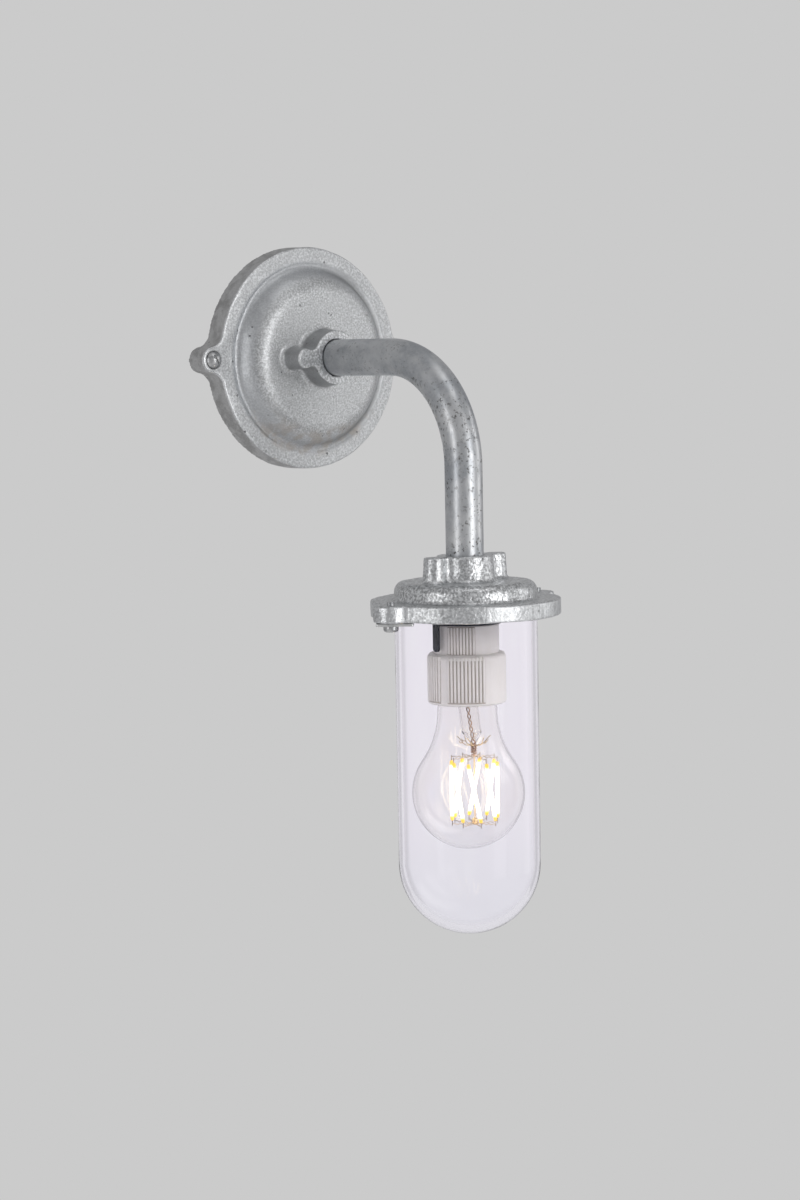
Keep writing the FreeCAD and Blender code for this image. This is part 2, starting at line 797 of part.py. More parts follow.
def holder_skirt():
    bore = skirt_radius - skirt_wall
    shell = turned_on_head([
        (holder_radius + skirt_gap, skirt_top, 0),
        (skirt_radius, skirt_top, skirt_shoulder_round),
        (skirt_radius, holder_bottom, skirt_foot_round),
        (bore, holder_bottom, 0),
        (bore, skirt_top - holder_neck_below + skirt_wall / 2, 0),
        (holder_radius + skirt_gap, skirt_top - holder_neck_below + skirt_wall / 2, 0),
    ])
    ribs = band_ribs(skirt_radius, holder_bottom + skirt_foot_round * 2,
                     skirt_top - skirt_shoulder_round, skirt_rib_count, skirt_rib_pitch_degrees,
                     skirt_band_degrees)
    return fuse_all([shell] + ribs)


# The porcelain disc between the wire clamps and the lamp's contacts.
def holder_insert():
    return turned_on_head(sharp([
        (0, insert_under), (holder_radius - holder_wall - insert_gap, insert_under),
        (holder_radius - holder_wall - insert_gap, insert_top), (0, insert_top),
    ]))


def screw_shell():
    low = insert_under - shell_length
    line = thread_waves(shell_crest, shell_ring_depth, insert_under, low, shell_ring_count)
    return turned_on_head(thin_wall(line, shell_wall))


# A flat strip whose end is folded back under it as a spring tongue.
def centre_contact():
    top = insert_under
    thick = contact_strip_thick
    far = contact_strip_half_length
    outline = [
        (-far, top), (far, top), (far, top - thick * 2), (contact_tongue_half, contact_under),
        (-contact_tongue_half, contact_under), (-contact_tongue_half, contact_under + thick),
        (contact_tongue_half, contact_under + thick), (far - thick * 2, top - thick), (-far, top - thick),
    ]
    face = Part.Face(rounded_wire(sharp(outline), on_head))
    face.translate(vec(0, -contact_strip_half_width, 0))
    return face.extrude(vec(0, contact_strip_half_width * 2, 0))


def holder_clamps():
    middle = vec(wire_drop_offset, -arm_reach, 0)
    body = block(
        middle + vec(-clamp_half, -clamp_half, insert_top), middle + vec(clamp_half, clamp_half, clamp_top)
    )
    wire_hole = rod(wire_radius + clamp_gap, middle + vec(0, 0, clamp_top + cut_overrun), vec(0, 0, -1),
                    wire_bite + cut_overrun)
    screw_hole = rod(clamp_screw_radius + thread_gap, clamp_screw_foot(), vec(0, 1, 0),
                     clamp_half + clamp_screw_proud)
    return group(both_sides(body.cut([wire_hole, screw_hole])))


def clamp_screw_foot():
    return vec(wire_drop_offset, -arm_reach - clamp_half - clamp_screw_proud, clamp_top - clamp_height / 2)


def holder_clamp_screws():
    length = clamp_half + clamp_screw_proud - wire_radius - clamp_gap
    screw = rod(clamp_screw_radius, clamp_screw_foot(), vec(0, 1, 0), length)
    return group(both_sides(screw))


# The radius and centre of the hollow arc from the lamp's neck to its ball.
def lamp_hollow():
    radius = lamp_neck_radius ** 2 + lamp_neck_height ** 2 - lamp_radius ** 2
    radius = radius / (2 * (lamp_radius - lamp_neck_radius))
    return radius, vec(lamp_neck_radius + radius, lamp_centre + lamp_neck_height, 0)


# The radius and centre of the arc that draws the neck in to the cap.
def lamp_draw_in(inset):
    radius = (lamp_neck_swell ** 2 + lamp_seal_rise ** 2) / (2 * lamp_neck_swell)
    return radius, vec(lamp_neck_radius - inset - radius, lamp_centre + lamp_neck_height, 0)


# Half of the lamp's outline, drawn in by a wall's thickness for its inside.
def lamp_half(inset):
    hollow_radius, hollow_centre = lamp_hollow()
    draw_radius, draw_centre = lamp_draw_in(inset)
    ball_centre = vec(0, lamp_centre, 0)
    ball = lamp_radius - inset
    toward = (hollow_centre - ball_centre).normalize()
    join = ball_centre + toward * ball
    lean = math.atan2(toward.y, toward.x)
    middle_angle = (lean - math.pi / 2) / 2
    side = ball_centre + vec(math.cos(middle_angle), math.sin(middle_angle), 0) * ball
    pole = ball_centre - vec(0, ball, 0)
    neck = vec(lamp_neck_radius - inset, hollow_centre.y, 0)
    inward = ((join - hollow_centre) + (neck - hollow_centre)).normalize()
    bow = hollow_centre + inward * (hollow_radius + inset)
    seal = vec(lamp_cap_radius - inset, lamp_cap_foot, 0)
    outward = ((seal - draw_centre) + (neck - draw_centre)).normalize()
    brow = draw_centre + outward * draw_radius
    curves = [(pole, side, join), (join, bow, neck), (neck, brow, seal)]
    return curves, pole, seal


def lamp_glass():
    edges = []
    ends = []
    for inset in (0, lamp_wall):
        curves, pole, seal = lamp_half(inset)
        ends.append((on_head(pole.x, pole.y), on_head(seal.x, seal.y)))
        for curve in curves:
            edges.append(Part.Arc(*[on_head(p.x, p.y) for p in curve]).toShape())
    for outside, inside in zip(ends[0], ends[1]):
        edges.append(Part.LineSegment(outside, inside).toShape())
    wire = Part.Wire(Part.__sortEdges__(edges))
    return Part.Face(wire).revolve(vec(0, -arm_reach, 0), vec(0, 0, 1), full_turn)


def lamp_cap():
    high = lamp_cap_top - lamp_cap_slope
    low = lamp_cap_foot + lamp_cap_rim_height
    line = [(lamp_cap_top_radius, lamp_cap_top, 0)]
    waves = thread_waves(lamp_cap_radius, lamp_cap_ring_depth, high, low, lamp_cap_ring_count)
    line += waves
    line += [(lamp_cap_rim_radius, lamp_cap_foot + lamp_cap_rim_height / 2, 0),
             (lamp_cap_rim_radius, lamp_cap_foot, 0)]
    return turned_on_head(thin_wall(line, lamp_cap_wall))


def cap_insulator():
    return turned_on_head(sharp([
        (0, lamp_cap_top), (lamp_cap_top_radius - lamp_cap_wall, lamp_cap_top),
        (insulator_top_radius, lamp_cap_top + insulator_height), (0, lamp_cap_top + insulator_height),
    ]))


def cap_contact():
    low = lamp_cap_top + insulator_height
    return turned_on_head([
        (0, low, 0), (tip_radius, low, 0), (tip_radius, lamp_tip_top, tip_height / 2), (0, lamp_tip_top, 0),
    ])


# The middle of the filament cage at a level: its stem leans a little to one side.
def cage_middle(level):
    angle = math.radians(cage_lean_degrees)
    return vec(cage_lean * math.cos(angle), cage_lean * math.sin(angle) - arm_reach, level)


# The strips stand on one circle, and each leans round it from its top to its foot.
def filament_ends(index):
    turn = filament_turn_degrees + index * full_turn / filament_count
    ends = []
    for degrees, side in ((turn, 1), (turn + filament_twist_degrees, -1)):
        angle = math.radians(degrees)
        out = vec(math.cos(angle), math.sin(angle), 0) * filament_circle
        ends.append(cage_middle(filament_middle + side * filament_length / 2) + out)
    return ends


def rod_between(radius, start, end):
    return rod(radius, start, end - start, (end - start).Length)


# The level of the wires that hold the filaments, above their tops and below their feet.
def frame_level(side):
    return filament_middle + side * (filament_length / 2 + frame_lead)


# A flare sealed in the neck, a stem that leans from it and a thin rod through the cage.
def lamp_stem():
    foot = lamp_cap_foot
    flare = turned_on_head([
        (0, foot, 0), (lamp_cap_radius - lamp_wall - stem_foot_gap, foot, 0),
        (stem_radius, foot - stem_flare, stem_flare / 2),
        (stem_radius, foot - stem_flare - stem_radius, 0), (0, foot - stem_flare - stem_radius, 0),
    ])
    start = vec(0, -arm_reach, foot - stem_flare)
    end = cage_middle(frame_level(1) + stem_lead)
    stem = rod_between(stem_radius, start, end)
    pinch = Part.makeSphere(stem_radius, end)
    tip = rod_between(stem_tip_radius, end, cage_middle(frame_level(-1)))
    return fuse_all([flare, stem, pinch, tip])


def filaments():
    return group([rod_between(filament_radius, *filament_ends(i)) for i in range(filament_count)])


def filament_frame():
    spokes = []
    for index in range(filament_count):
        for end, side in zip(filament_ends(index), (1, -1)):
            level = frame_level(side)
            corner = vec(end.x, end.y, level)
            out = (corner - cage_middle(level)).normalize()
            hub = cage_middle(level) + out * (stem_tip_radius + thread_gap)
            spokes.append(bent_pipe([hub, corner, end], [0], frame_wire_radius))
    return group(spokes)


def lamp_driver():
    radius = lamp_cap_radius - lamp_cap_ring_depth - lamp_cap_wall - driver_gap
    level = lamp_cap_foot + lamp_cap_length / 2
    board = rod(radius, vec(0, -arm_reach, level), vec(0, 0, 1), driver_thick)
    cans = [rod(driver_can_radius, vec(x, -arm_reach, level), vec(0, 0, -1), driver_can_height)
            for x in (-driver_can_offset, driver_can_offset)]
    return fuse_all([board] + cans)


def terminal_ways():
    return (-block_pitch, 0, block_pitch)


# Where the screws of a terminal bar stand, either side of the block's middle.
def terminal_screw_heights():
    step = block_half_width / 2
    return (-block_offset - step, -block_offset + step)


def terminal_block():
    body = block(
        vec(-block_half_length, block_far_y, -block_offset - block_half_width),
        vec(block_half_length, block_near_y, block_top_z),
    )
    long_edges = edges_at(body, lambda p: p.y, block_near_y)
    body = body.makeFillet(block_round, long_edges)
    cuts = []
    for x in terminal_ways():
        cuts.append(rod(block_bar_radius + thread_gap, vec(x, block_middle_y, block_top_z + cut_overrun),
                        vec(0, 0, -1), block_half_width * 2 + cut_overrun * 2))
        for z in terminal_screw_heights():
            cuts.append(rod(block_screw_radius + block_screw_gap, vec(x, block_middle_y, z), vec(0, 1, 0),
                            block_height))
    for x in block_screw_places():
        cuts.append(rod(block_screw_radius + block_screw_gap,
                        vec(x, block_far_y - cut_overrun, -block_offset), vec(0, 1, 0),
                        block_height + cut_overrun * 2))
    return body.cut(cuts)


def terminal_bars():
    bars = []
    length = (block_half_width - block_bar_inset) * 2
    for x in terminal_ways():
        top = vec(x, block_middle_y, block_top_z - block_bar_inset)
        bar = rod(block_bar_radius, top, vec(0, 0, -1), length)
        bore = rod(wire_radius + clamp_gap, top + vec(0, 0, cut_overrun), vec(0, 0, -1),
                   length + cut_overrun * 2)
        taps = [rod(block_screw_radius + thread_gap, vec(x, block_middle_y, z), vec(0, 1, 0), block_height)
                for z in terminal_screw_heights()]
        bars.append(bar.cut([bore] + taps))
    return group(bars)


def terminal_screws():
    screws = []
    start = block_middle_y + wire_radius + clamp_gap
    for x in terminal_ways():
        for z in terminal_screw_heights():
            screw = rod(block_screw_radius, vec(x, start, z), vec(0, 1, 0),
                        block_near_y - terminal_screw_sink - start)
            slot = block(
                vec(x - block_screw_radius, block_near_y - terminal_screw_sink * 2, z - cross_width / 2),
                vec(x + block_screw_radius, block_near_y, z + cross_width / 2),
            )
            screws.append(screw.cut(slot))
    return group(screws)


def block_screws():
    return group([
        pan_screw(vec(x, block_near_y, -block_offset), vec(0, -1, 0), block_screw_radius,
                  block_height + block_screw_bite, block_screw_radius * 2, pan_head_height)
        for x in block_screw_places()
    ])


def earth_screw():
    foot = vec(boss_ear_offset, earth_tag_thick - dome_ceiling, 0)
    return pan_screw(foot, vec(0, -1, 0), earth_screw_radius, earth_screw_length + earth_tag_thick,
                     pan_head_radius, pan_head_height)


# The axis of the tag's barrel, clear of the plate's inside.
def earth_barrel_y():
    return wire_radius + earth_barrel_wall * 2 - dome_ceiling


def earth_tag():
    seat = vec(boss_ear_offset, -dome_ceiling, 0)
    ring = rod(earth_tag_radius, seat, vec(0, 1, 0), earth_tag_thick)
    ring = ring.cut(rod(earth_screw_radius + thread_gap, seat - vec(0, cut_overrun, 0), vec(0, 1, 0),
                        earth_tag_thick + cut_overrun * 2))
    top = vec(boss_ear_offset, earth_barrel_y(), -earth_tag_radius + earth_tag_thick / 2)
    barrel = rod(wire_radius + earth_barrel_wall, top, vec(0, 0, -1), earth_barrel_length)
    bore = rod(wire_radius + thread_gap, top - vec(0, 0, earth_barrel_wall), vec(0, 0, -1),
               earth_barrel_length)
    return ring.fuse(barrel).cut(bore).removeSplitter()


def earth_wire():
    x = block_pitch
    y = block_middle_y
    barrel_y = earth_barrel_y()
    top = block_top_z + earth_loop_rise
    low = -earth_tag_radius - earth_barrel_length - earth_loop_drop
    return bent_pipe([
        (x, y, block_top_z - block_bar_inset - wire_bite),
        (x, y, top),
        ((x + boss_ear_offset) / 2, (y + barrel_y) / 2, top),
        (boss_ear_offset, barrel_y, low),
        (boss_ear_offset, barrel_y, -earth_tag_radius - earth_barrel_wall),
    ], [0, 0, 0], wire_radius)


# A lampholder wire, from its terminal through the tube and down to its clamp.
def holder_wire(way, side):
    y = block_middle_y
    low = holder_top + strip_thick + wire_bend
    return bent_pipe([
        (way, y, block_top_z - block_bar_inset - wire_bite),
        (way, y, block_top_z + wire_bend / 2),
        (side * wire_offset, y, 0),
        (side * wire_offset, -arm_reach, 0),
        (side * wire_offset, -arm_reach, cap_ceiling - bush_lip - wire_gap),
        (side * wire_drop_offset, -arm_reach, low),
        (side * wire_drop_offset, -arm_reach, clamp_top - wire_bite),
    ], [0, 0, arm_bend_radius, 0, 0], wire_radius)


pieces = {
    "wall_plate": wall_plate(),
    "wall_screws": wall_screws(),
    "arm_tube": arm_tube(),
    "edge_bushes": edge_bushes(),
    "head_casting": head_casting(),
    "glass_gasket": glass_gasket(),
    "lampholder_bracket": lampholder_bracket(),
    "bracket_screws": bracket_screws(),
    "holder_body": holder_body(),
    "holder_skirt": holder_skirt(),
    "holder_insert": holder_insert(),
    "screw_shell": screw_shell(),
    "centre_contact": centre_contact(),
    "holder_clamps": holder_clamps(),
    "holder_clamp_screws": holder_clamp_screws(),
    "terminal_block": terminal_block(),
    "terminal_bars": terminal_bars(),
    "terminal_screws": terminal_screws(),
    "block_screws": block_screws(),
    "earth_screw": earth_screw(),
    "earth_tag": earth_tag(),
    "live_wire": holder_wire(-block_pitch, -1),
    "neutral_wire": holder_wire(0, 1),
    "earth_wire": earth_wire(),
    "well_glass": well_glass(),
    "clip_screws": clip_screws(),
    "glass_clip_left": glass_clip(0),
    "glass_clip_right": glass_clip(1),
    "lamp_glass": lamp_glass(),
    "lamp_cap": lamp_cap(),
    "cap_insulator": cap_insulator(),
    "cap_contact": cap_contact(),
    "lamp_driver": lamp_driver(),
    "lamp_stem": lamp_stem(),
    "filaments": filaments(),
    "filament_frame": filament_frame(),
}
for name, shape in pieces.items():
    shape.exportStep("parts/" + name + ".step")
    state = "valid" if shape.isValid() else "INVALID"
    print(name, len(shape.Solids), "solids", round(shape.Volume, 1), "mm3", state)
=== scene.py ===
from math import atan2, cos, degrees, pi, radians, sin, sqrt, tan

import bmesh
import bpy
from mathutils import Matrix, Vector, noise


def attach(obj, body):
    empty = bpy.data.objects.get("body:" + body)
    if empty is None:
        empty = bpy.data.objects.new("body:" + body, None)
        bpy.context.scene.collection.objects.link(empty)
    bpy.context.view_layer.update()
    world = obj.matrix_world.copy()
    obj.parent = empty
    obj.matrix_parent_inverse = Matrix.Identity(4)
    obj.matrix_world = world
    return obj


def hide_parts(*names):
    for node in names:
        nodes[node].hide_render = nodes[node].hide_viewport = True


# A bracket light in galvanised iron: a domed wall plate, a bent arm and a well glass round a lamp.

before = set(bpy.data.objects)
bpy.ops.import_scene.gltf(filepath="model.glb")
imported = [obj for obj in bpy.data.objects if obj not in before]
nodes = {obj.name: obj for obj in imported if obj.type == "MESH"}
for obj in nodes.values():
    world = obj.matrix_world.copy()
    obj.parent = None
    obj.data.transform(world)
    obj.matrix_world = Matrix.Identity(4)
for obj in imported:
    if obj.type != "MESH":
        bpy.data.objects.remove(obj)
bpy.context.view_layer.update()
mm = 0.001
fullTurn = 2 * pi
armReach = 142.0  # wall to the drop axis, in mm as every size below
headAxis = Vector((0, -armReach, 0))
nearAxis = 0.0005
print("frame loaded:", len(nodes), "pieces")


# A socket of a node tree, so that maths on it reads plainly.
class Strand:
    def __init__(self, tree, socket=None):
        self.tree = tree
        self.socket = socket

    def add(self, kind, sockets=None, out=0, **settings):
        made = self.tree.nodes.new(kind)
        for name, value in settings.items():
            setattr(made, name, value)
        for name, value in (sockets or {}).items():
            if isinstance(value, Strand):
                self.tree.links.new(value.socket, made.inputs[name])
            else:
                made.inputs[name].default_value = value
        return Strand(self.tree, made.outputs[out] if made.outputs else None)

    def maths(self, operation, *others):
        return self.add("ShaderNodeMath", dict(enumerate((self, *others))), operation=operation)

    def __add__(self, other):
        return self.maths("ADD", other)

    def __sub__(self, other):
        return self.maths("SUBTRACT", other)

    def __rsub__(self, other):
        return self * -1.0 + other

    def __mul__(self, other):
        return self.maths("MULTIPLY", other)

    def __truediv__(self, other):
        return self.maths("DIVIDE", other)

    __radd__ = __add__
    __rmul__ = __mul__

    def above(self, low, high):  # 0 under low, 1 over high, smooth between
        ends = {"Value": self, "From Min": low, "From Max": high}
        return self.add("ShaderNodeMapRange", ends, interpolation_type="SMOOTHSTEP")

    def between(self, low, high, soft):
        return self.above(low - soft, low) * (1 - self.above(high, high + soft))

    def noise(self, size, detail=4.0, roughness=0.55, stretch=None, seed=0.0):
        place = self
        if stretch:
            place = self.add("ShaderNodeMapping", {"Vector": self, "Scale": stretch})
        return self.add("ShaderNodeTexNoise", {
            "Vector": place, "W": seed, "Scale": 1 / (size * mm), "Detail": detail, "Roughness": roughness,
        }, noise_dimensions="4D")

    def cells(self, size):
        return self.add("ShaderNodeTexVoronoi", {"Vector": self, "Scale": 1 / (size * mm)})

    def part(self, axis):  # X, Y or Z in mm
        return self.add("ShaderNodeSeparateXYZ", {"Vector": self}, axis) / mm

    def vectorMaths(self, operation, other=(0, 0, 0), out=0):
        return self.add("ShaderNodeVectorMath", {0: self, 1: other}, out, operation=operation)

    def reach(self, keep):  # mm from the axis that keep leaves out
        return self.vectorMaths("MULTIPLY", keep).vectorMaths("LENGTH", out="Value") / mm

    def blend(self, first, second):  # a colour between two, by this mask
        return self.add("ShaderNodeMix", {"Factor": self, 6: first, 7: second}, 2, data_type="RGBA")


def rgb(red, green, blue):
    return (red, green, blue, 1.0)


zincTint = (0.985, 1.012)  # its red and blue beside its green
finishes = {}


def grey(level, warm=0.0):
    return rgb(level * (zincTint[0] + warm), level, level * (zincTint[1] - warm))


def clearedTree(owner):  # of a material or the world
    owner.use_nodes = True
    owner.node_tree.nodes.clear()
    return Strand(owner.node_tree)


def newMaterial(name, **sockets):
    finishes[name] = bpy.data.materials.new(name)
    start = clearedTree(finishes[name])
    where = start.add("ShaderNodeTexCoord", out="Object")
    shader = start.add("ShaderNodeBsdfPrincipled", sockets)
    start.add("ShaderNodeOutputMaterial", {"Surface": shader})
    return where, shader


def feed(shader, colour, roughness, normal, glow=None):
    inputs = {"Base Color": colour, "Roughness": roughness, "Normal": normal, "Emission Color": glow}
    for name, strand in inputs.items():
        if strand:
            shader.tree.links.new(strand.socket, shader.socket.node.inputs[name])


def bump(height, depth, under=None):  # depth in mm for a height of 0 to 1
    sockets = {"Height": height, "Distance": depth * mm, "Strength": 1.0}
    if under is not None:
        sockets["Normal"] = under
    return height.add("ShaderNodeBump", sockets)


def pointiness(where):
    return where.add("ShaderNodeNewGeometry", out="Pointiness")


# A tone under coats, each with a mask, its strength and its colour.
def coated(tone, *coats):
    for mask, strength, colour in coats:
        tone = (mask * strength).blend(tone, colour)
    return tone


# Any plain metal: a dark and a light tone, fine scratches and its own gloss.
plain = {"metalCloud": 4.0, "metalGrain": 0.5, "mouldedCloud": 7.0, "mouldedGrain": 0.6, "depth": 0.02,
         "worn": (0.51, 0.6), "hollow": (0.4, 0.49), "wornTone": rgb(0.9, 0.9, 0.88), "dustAndShade": rgb(0.1, 0.09, 0.08)}


def plainMetal(name, dark, light, rough, depth=plain["depth"]):
    where, shader = newMaterial(name, Metallic=1.0)
    cloud = where.noise(plain["metalCloud"], detail=4)
    fine = where.noise(plain["metalGrain"], detail=3, seed=5)
    worn = pointiness(where).above(*plain["worn"])
    tone = cloud.above(0.38, 0.64).blend(rgb(*dark), rgb(*light))
    tone = coated(tone, (fine.above(0.55, 0.7), 0.3, rgb(*dark)), (worn, 0.35, plain["wornTone"]))
    feed(shader, tone, rough + 0.15 * cloud, bump(fine, depth))


# Any plain stuff that isn't metal: mottled, its hollows darkened by dust and painted shade, and painted shade
# where a named attribute marks the skin.
def plainMoulding(name, dark, light, rough, dustAndShadeTone=plain["dustAndShade"], shadeAttribute=None, specular=0.5):
    where, shader = newMaterial(name, **{"Specular IOR Level": specular})
    cloud = where.noise(plain["mouldedCloud"], detail=4)
    fine = where.noise(plain["mouldedGrain"], detail=3, seed=5)
    # dust and painted shade: darker where the skin curves inwards
    hollow = 1 - pointiness(where).above(*plain["hollow"])
    tone = coated(cloud.above(0.35, 0.65).blend(rgb(*dark), rgb(*light)), (hollow, 0.35, dustAndShadeTone))
    if shadeAttribute:
        # painted shade in the grooves that the attribute marks
        grooveShaded = where.add("ShaderNodeAttribute", out="Fac", attribute_name=shadeAttribute)
        tone = coated(tone, (grooveShaded, 0.8, dustAndShadeTone))
    feed(shader, tone, rough + 0.12 * cloud, bump(fine, plain["depth"]))


metals = {  # dark tone, light tone, roughness and depth of the scratches
    "zinc_screw": ((0.3, 0.31, 0.32), (0.6, 0.6, 0.6), 0.26),
    "zinc_clip": ((0.5, 0.51, 0.52), (0.78, 0.78, 0.78), 0.22),
    "brass": ((0.62, 0.42, 0.15), (0.8, 0.6, 0.28), 0.3),
    "nickel_cap": ((0.62, 0.59, 0.54), (0.78, 0.76, 0.72), 0.22),
    "solder": ((0.5, 0.5, 0.5), (0.72, 0.72, 0.72), 0.35, 0.08),
    "frame_wire": ((0.2, 0.1, 0.045), (0.5, 0.3, 0.14), 0.35),
    "peach_wire": ((0.72, 0.38, 0.22), (0.95, 0.62, 0.4), 0.45),
    "gold_wire": ((0.9, 0.6, 0.26), (1.0, 0.8, 0.46), 0.45),
}
mouldings = {  # dark tone, light tone, roughness
    "black_nylon": ((0.012, 0.012, 0.013), (0.03, 0.03, 0.03), 0.45),
    "gasket_rubber": ((0.02, 0.02, 0.02), (0.045, 0.045, 0.044), 0.6),
    "porcelain": ((0.74, 0.73, 0.7), (0.82, 0.81, 0.78), 0.14),
    "white_nylon": ((0.68, 0.68, 0.66), (0.78, 0.78, 0.76), 0.4),
    "brown_sleeve": ((0.11, 0.035, 0.012), (0.17, 0.06, 0.02), 0.38),
    "blue_sleeve": ((0.015, 0.06, 0.28), (0.025, 0.1, 0.4), 0.38),
    "earth_sleeve": ((0.1, 0.3, 0.02), (0.55, 0.5, 0.03), 0.38),
    "black_glass": ((0.008, 0.008, 0.01), (0.02, 0.02, 0.025), 0.08),
    "driver_board": ((0.5, 0.5, 0.46), (0.65, 0.65, 0.6), 0.4),
}
for name, tones in metals.items():
    plainMetal(name, *tones)
for name, tones in mouldings.items():
    plainMoulding(name, *tones)
plainMoulding("dark_strip", (0.012, 0.014, 0.024), (0.02, 0.023, 0.036), 0.55, specular=0.25)
# the ivory's hollows take dust and painted shade, its marked rib grooves painted shade
plainMoulding("ivory_plastic", (0.94, 0.915, 0.87), (0.97, 0.95, 0.915), 0.34, rgb(0.36, 0.31, 0.26), "grooveShade")
print("plain finishes made:", len(finishes))


def newObject(name, data):
    made = bpy.data.objects.new(name, data)
    bpy.context.scene.collection.objects.link(made)
    return made


def tidyMesh(mesh, merge=0.002):
    work = bmesh.new()
    work.from_mesh(mesh)
    bmesh.ops.remove_doubles(work, verts=work.verts, dist=merge * mm)
    bmesh.ops.recalc_face_normals(work, faces=work.faces)
    work.to_mesh(mesh)
    work.free()


def newPiece(name, verts, faces):
    mesh = bpy.data.meshes.new(name)
    mesh.from_pydata(verts, [], faces)
    tidyMesh(mesh)
    return newObject(name, mesh)


def joined(name, pieces):
    work = bmesh.new()
    for piece in pieces:
        work.from_mesh(piece.data)
        bpy.data.objects.remove(piece)
    mesh = bpy.data.meshes.new(name)
    work.to_mesh(mesh)
    work.free()
    return newObject(name, mesh)


def plainCopy(piece, name):  # the piece with its modifiers worked in
    depsgraph = bpy.context.evaluated_depsgraph_get()
    mesh = bpy.data.meshes.new_from_object(piece.evaluated_get(depsgraph))
    mesh.name = name
    made = newObject(name, mesh)
    bpy.data.objects.remove(piece)
    made.name = name
    return made


def dress(piece, finish):
    piece.data.materials.clear()
    piece.data.materials.append(finishes[finish])


def finishPiece(piece, slotName, body, *replaced, finish=None, sharp=50):
    piece.data.shade_smooth()
    piece.data.set_sharp_from_angle(angle=radians(sharp))
    dress(piece, finish or slotName)
    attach(piece, body)
    if replaced:
        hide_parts(*replaced)


# Places of a flat point: across and up on the plate, or across and back on the head.
def onPlate(u, v, out):
    return Vector((u, -out, v)) * mm


def onHead(u, v, height):
    return Vector((u, v - armReach, height)) * mm


# Points on the shorter arc about a centre, both ends included.
def arcBetween(centre, start, end, steps):
    first = atan2(start[1] - centre[1], start[0] - centre[0])
    last = atan2(end[1] - centre[1], end[0] - centre[0])
    sweep = (last - first + pi) % fullTurn - pi
    radius = (Vector(start) - Vector(centre)).length
    points = []
    for step in range(steps + 1):
        angle = first + sweep * step / steps
        points.append(Vector(centre) + Vector((cos(angle), sin(angle))) * radius)
    return points


# Arcs joined end to end, each a centre, its two ends and a number of steps.
def chained(*arcs):
    line = []
    for arc in arcs:
        line += arcBetween(*arc)[1 if line else 0:]
    return line


# A closed line through corners (across, along, radius), each rounded by its radius.
def rounded(corners, steps=8):
    line = []
    for index, (u, v, radius) in enumerate(corners):
        here = Vector((u, v))
        if radius == 0:
            line.append(here)
            continue
        back = (Vector(corners[index - 1][:2]) - here).normalized()
        ahead = (Vector(corners[(index + 1) % len(corners)][:2]) - here).normalized()
        half = back.angle(ahead) / 2
        centre = here + (back + ahead).normalized() * (radius / sin(half))
        setback = radius / tan(half)
        line += arcBetween(centre, here + back * setback, here + ahead * setback, steps)
    return line


# Turns a closed line round an axis. A point on the axis becomes one vertex.
def turned(name, line, place, sides):
    verts = []
    spots = []
    for across, along in line:
        if across < nearAxis:
            spots += [len(verts)] * sides
            verts.append(place(0, 0, along))
            continue
        spots += range(len(verts), len(verts) + sides)
        for side in range(sides):
            angle = fullTurn * side / sides
            verts.append(place(across * cos(angle), across * sin(angle), along))
    faces = [list(dict.fromkeys(spots[i] for i in face)) for face in loopFaces(len(line), sides, closed=True)]
    return newPiece(name, verts, [face for face in faces if len(face) > 2])


# The faces between each loop of points and the next.
def loopFaces(loops, count, closed=False):
    faces = []
    for loop in range(loops if closed else loops - 1):
        here, other = loop * count, (loop + 1) % loops * count
        for i in range(count):
            j = (i + 1) % count
            faces.append([here + i, here + j, other + j, other + i])
    return faces


# An outline from the arcs of its first quarter, from the ear's tip up to the top.
def mirrored(*arcs):
    quarter = chained(*arcs)
    upper = quarter + [Vector((-p.x, p.y)) for p in reversed(quarter)][1:]
    lower = [Vector((p.x, -p.y)) for p in reversed(upper)]
    return upper + lower[1:-1]


# A disc with an ear on each side, blended straight into it.
def earedOutline(disc, ear, offset, blend, steps=(16, 10, 72)):
    toDisc = disc + blend
    toEar = ear + blend
    centreU = (toDisc ** 2 - toEar ** 2 + offset ** 2) / (2 * offset)
    centre = Vector((centreU, sqrt(toDisc ** 2 - centreU ** 2)))
    hub = Vector((offset, 0))
    onEar = hub + (centre - hub).normalized() * ear
    onDisc = centre.normalized() * disc
    return mirrored((hub, hub + Vector((ear, 0)), onEar, steps[0]), (centre, onEar, onDisc, steps[1]),
                    ((0, 0), onDisc, (0, disc), steps[2]))


# A disc with an ear on each side at the end of a straight neck.
def neckedOutline(disc, ear, offset, halfNeck, discBlend, earBlend, steps=(14, 8, 8, 24)):
    near = Vector((sqrt((disc + discBlend) ** 2 - (halfNeck + discBlend) ** 2), halfNeck + discBlend))
    reach = sqrt((ear + earBlend) ** 2 - (halfNeck + earBlend) ** 2)
    far = Vector((offset - reach, halfNeck + earBlend))
    hub = Vector((offset, 0))
    onEar = hub + (far - hub).normalized() * ear
    onDisc = near.normalized() * disc
    return mirrored((hub, hub + Vector((ear, 0)), onEar, steps[0]), (far, onEar, (far.x, halfNeck), steps[1]),
                    (near, (near.x, halfNeck), onDisc, steps[2]), ((0, 0), onDisc, (0, disc), steps[3]))


# A solid between levels, each an outline and its level, with a round bore through it.
def lofted(name, levels, bore, place):
    loops = list(levels)
    for outline, level in (levels[-1], levels[0]):
        loops.append(([p.normalized() * bore for p in outline], level))
    verts = [place(p.x, p.y, level) for outline, level in loops for p in outline]
    return newPiece(name, verts, loopFaces(len(loops), len(levels[0][0]), closed=True))


# Melts overlapping solids into one soft, uneven skin.
skin = {"soften": 0.5, "passes": 2, "sink": 0.6}


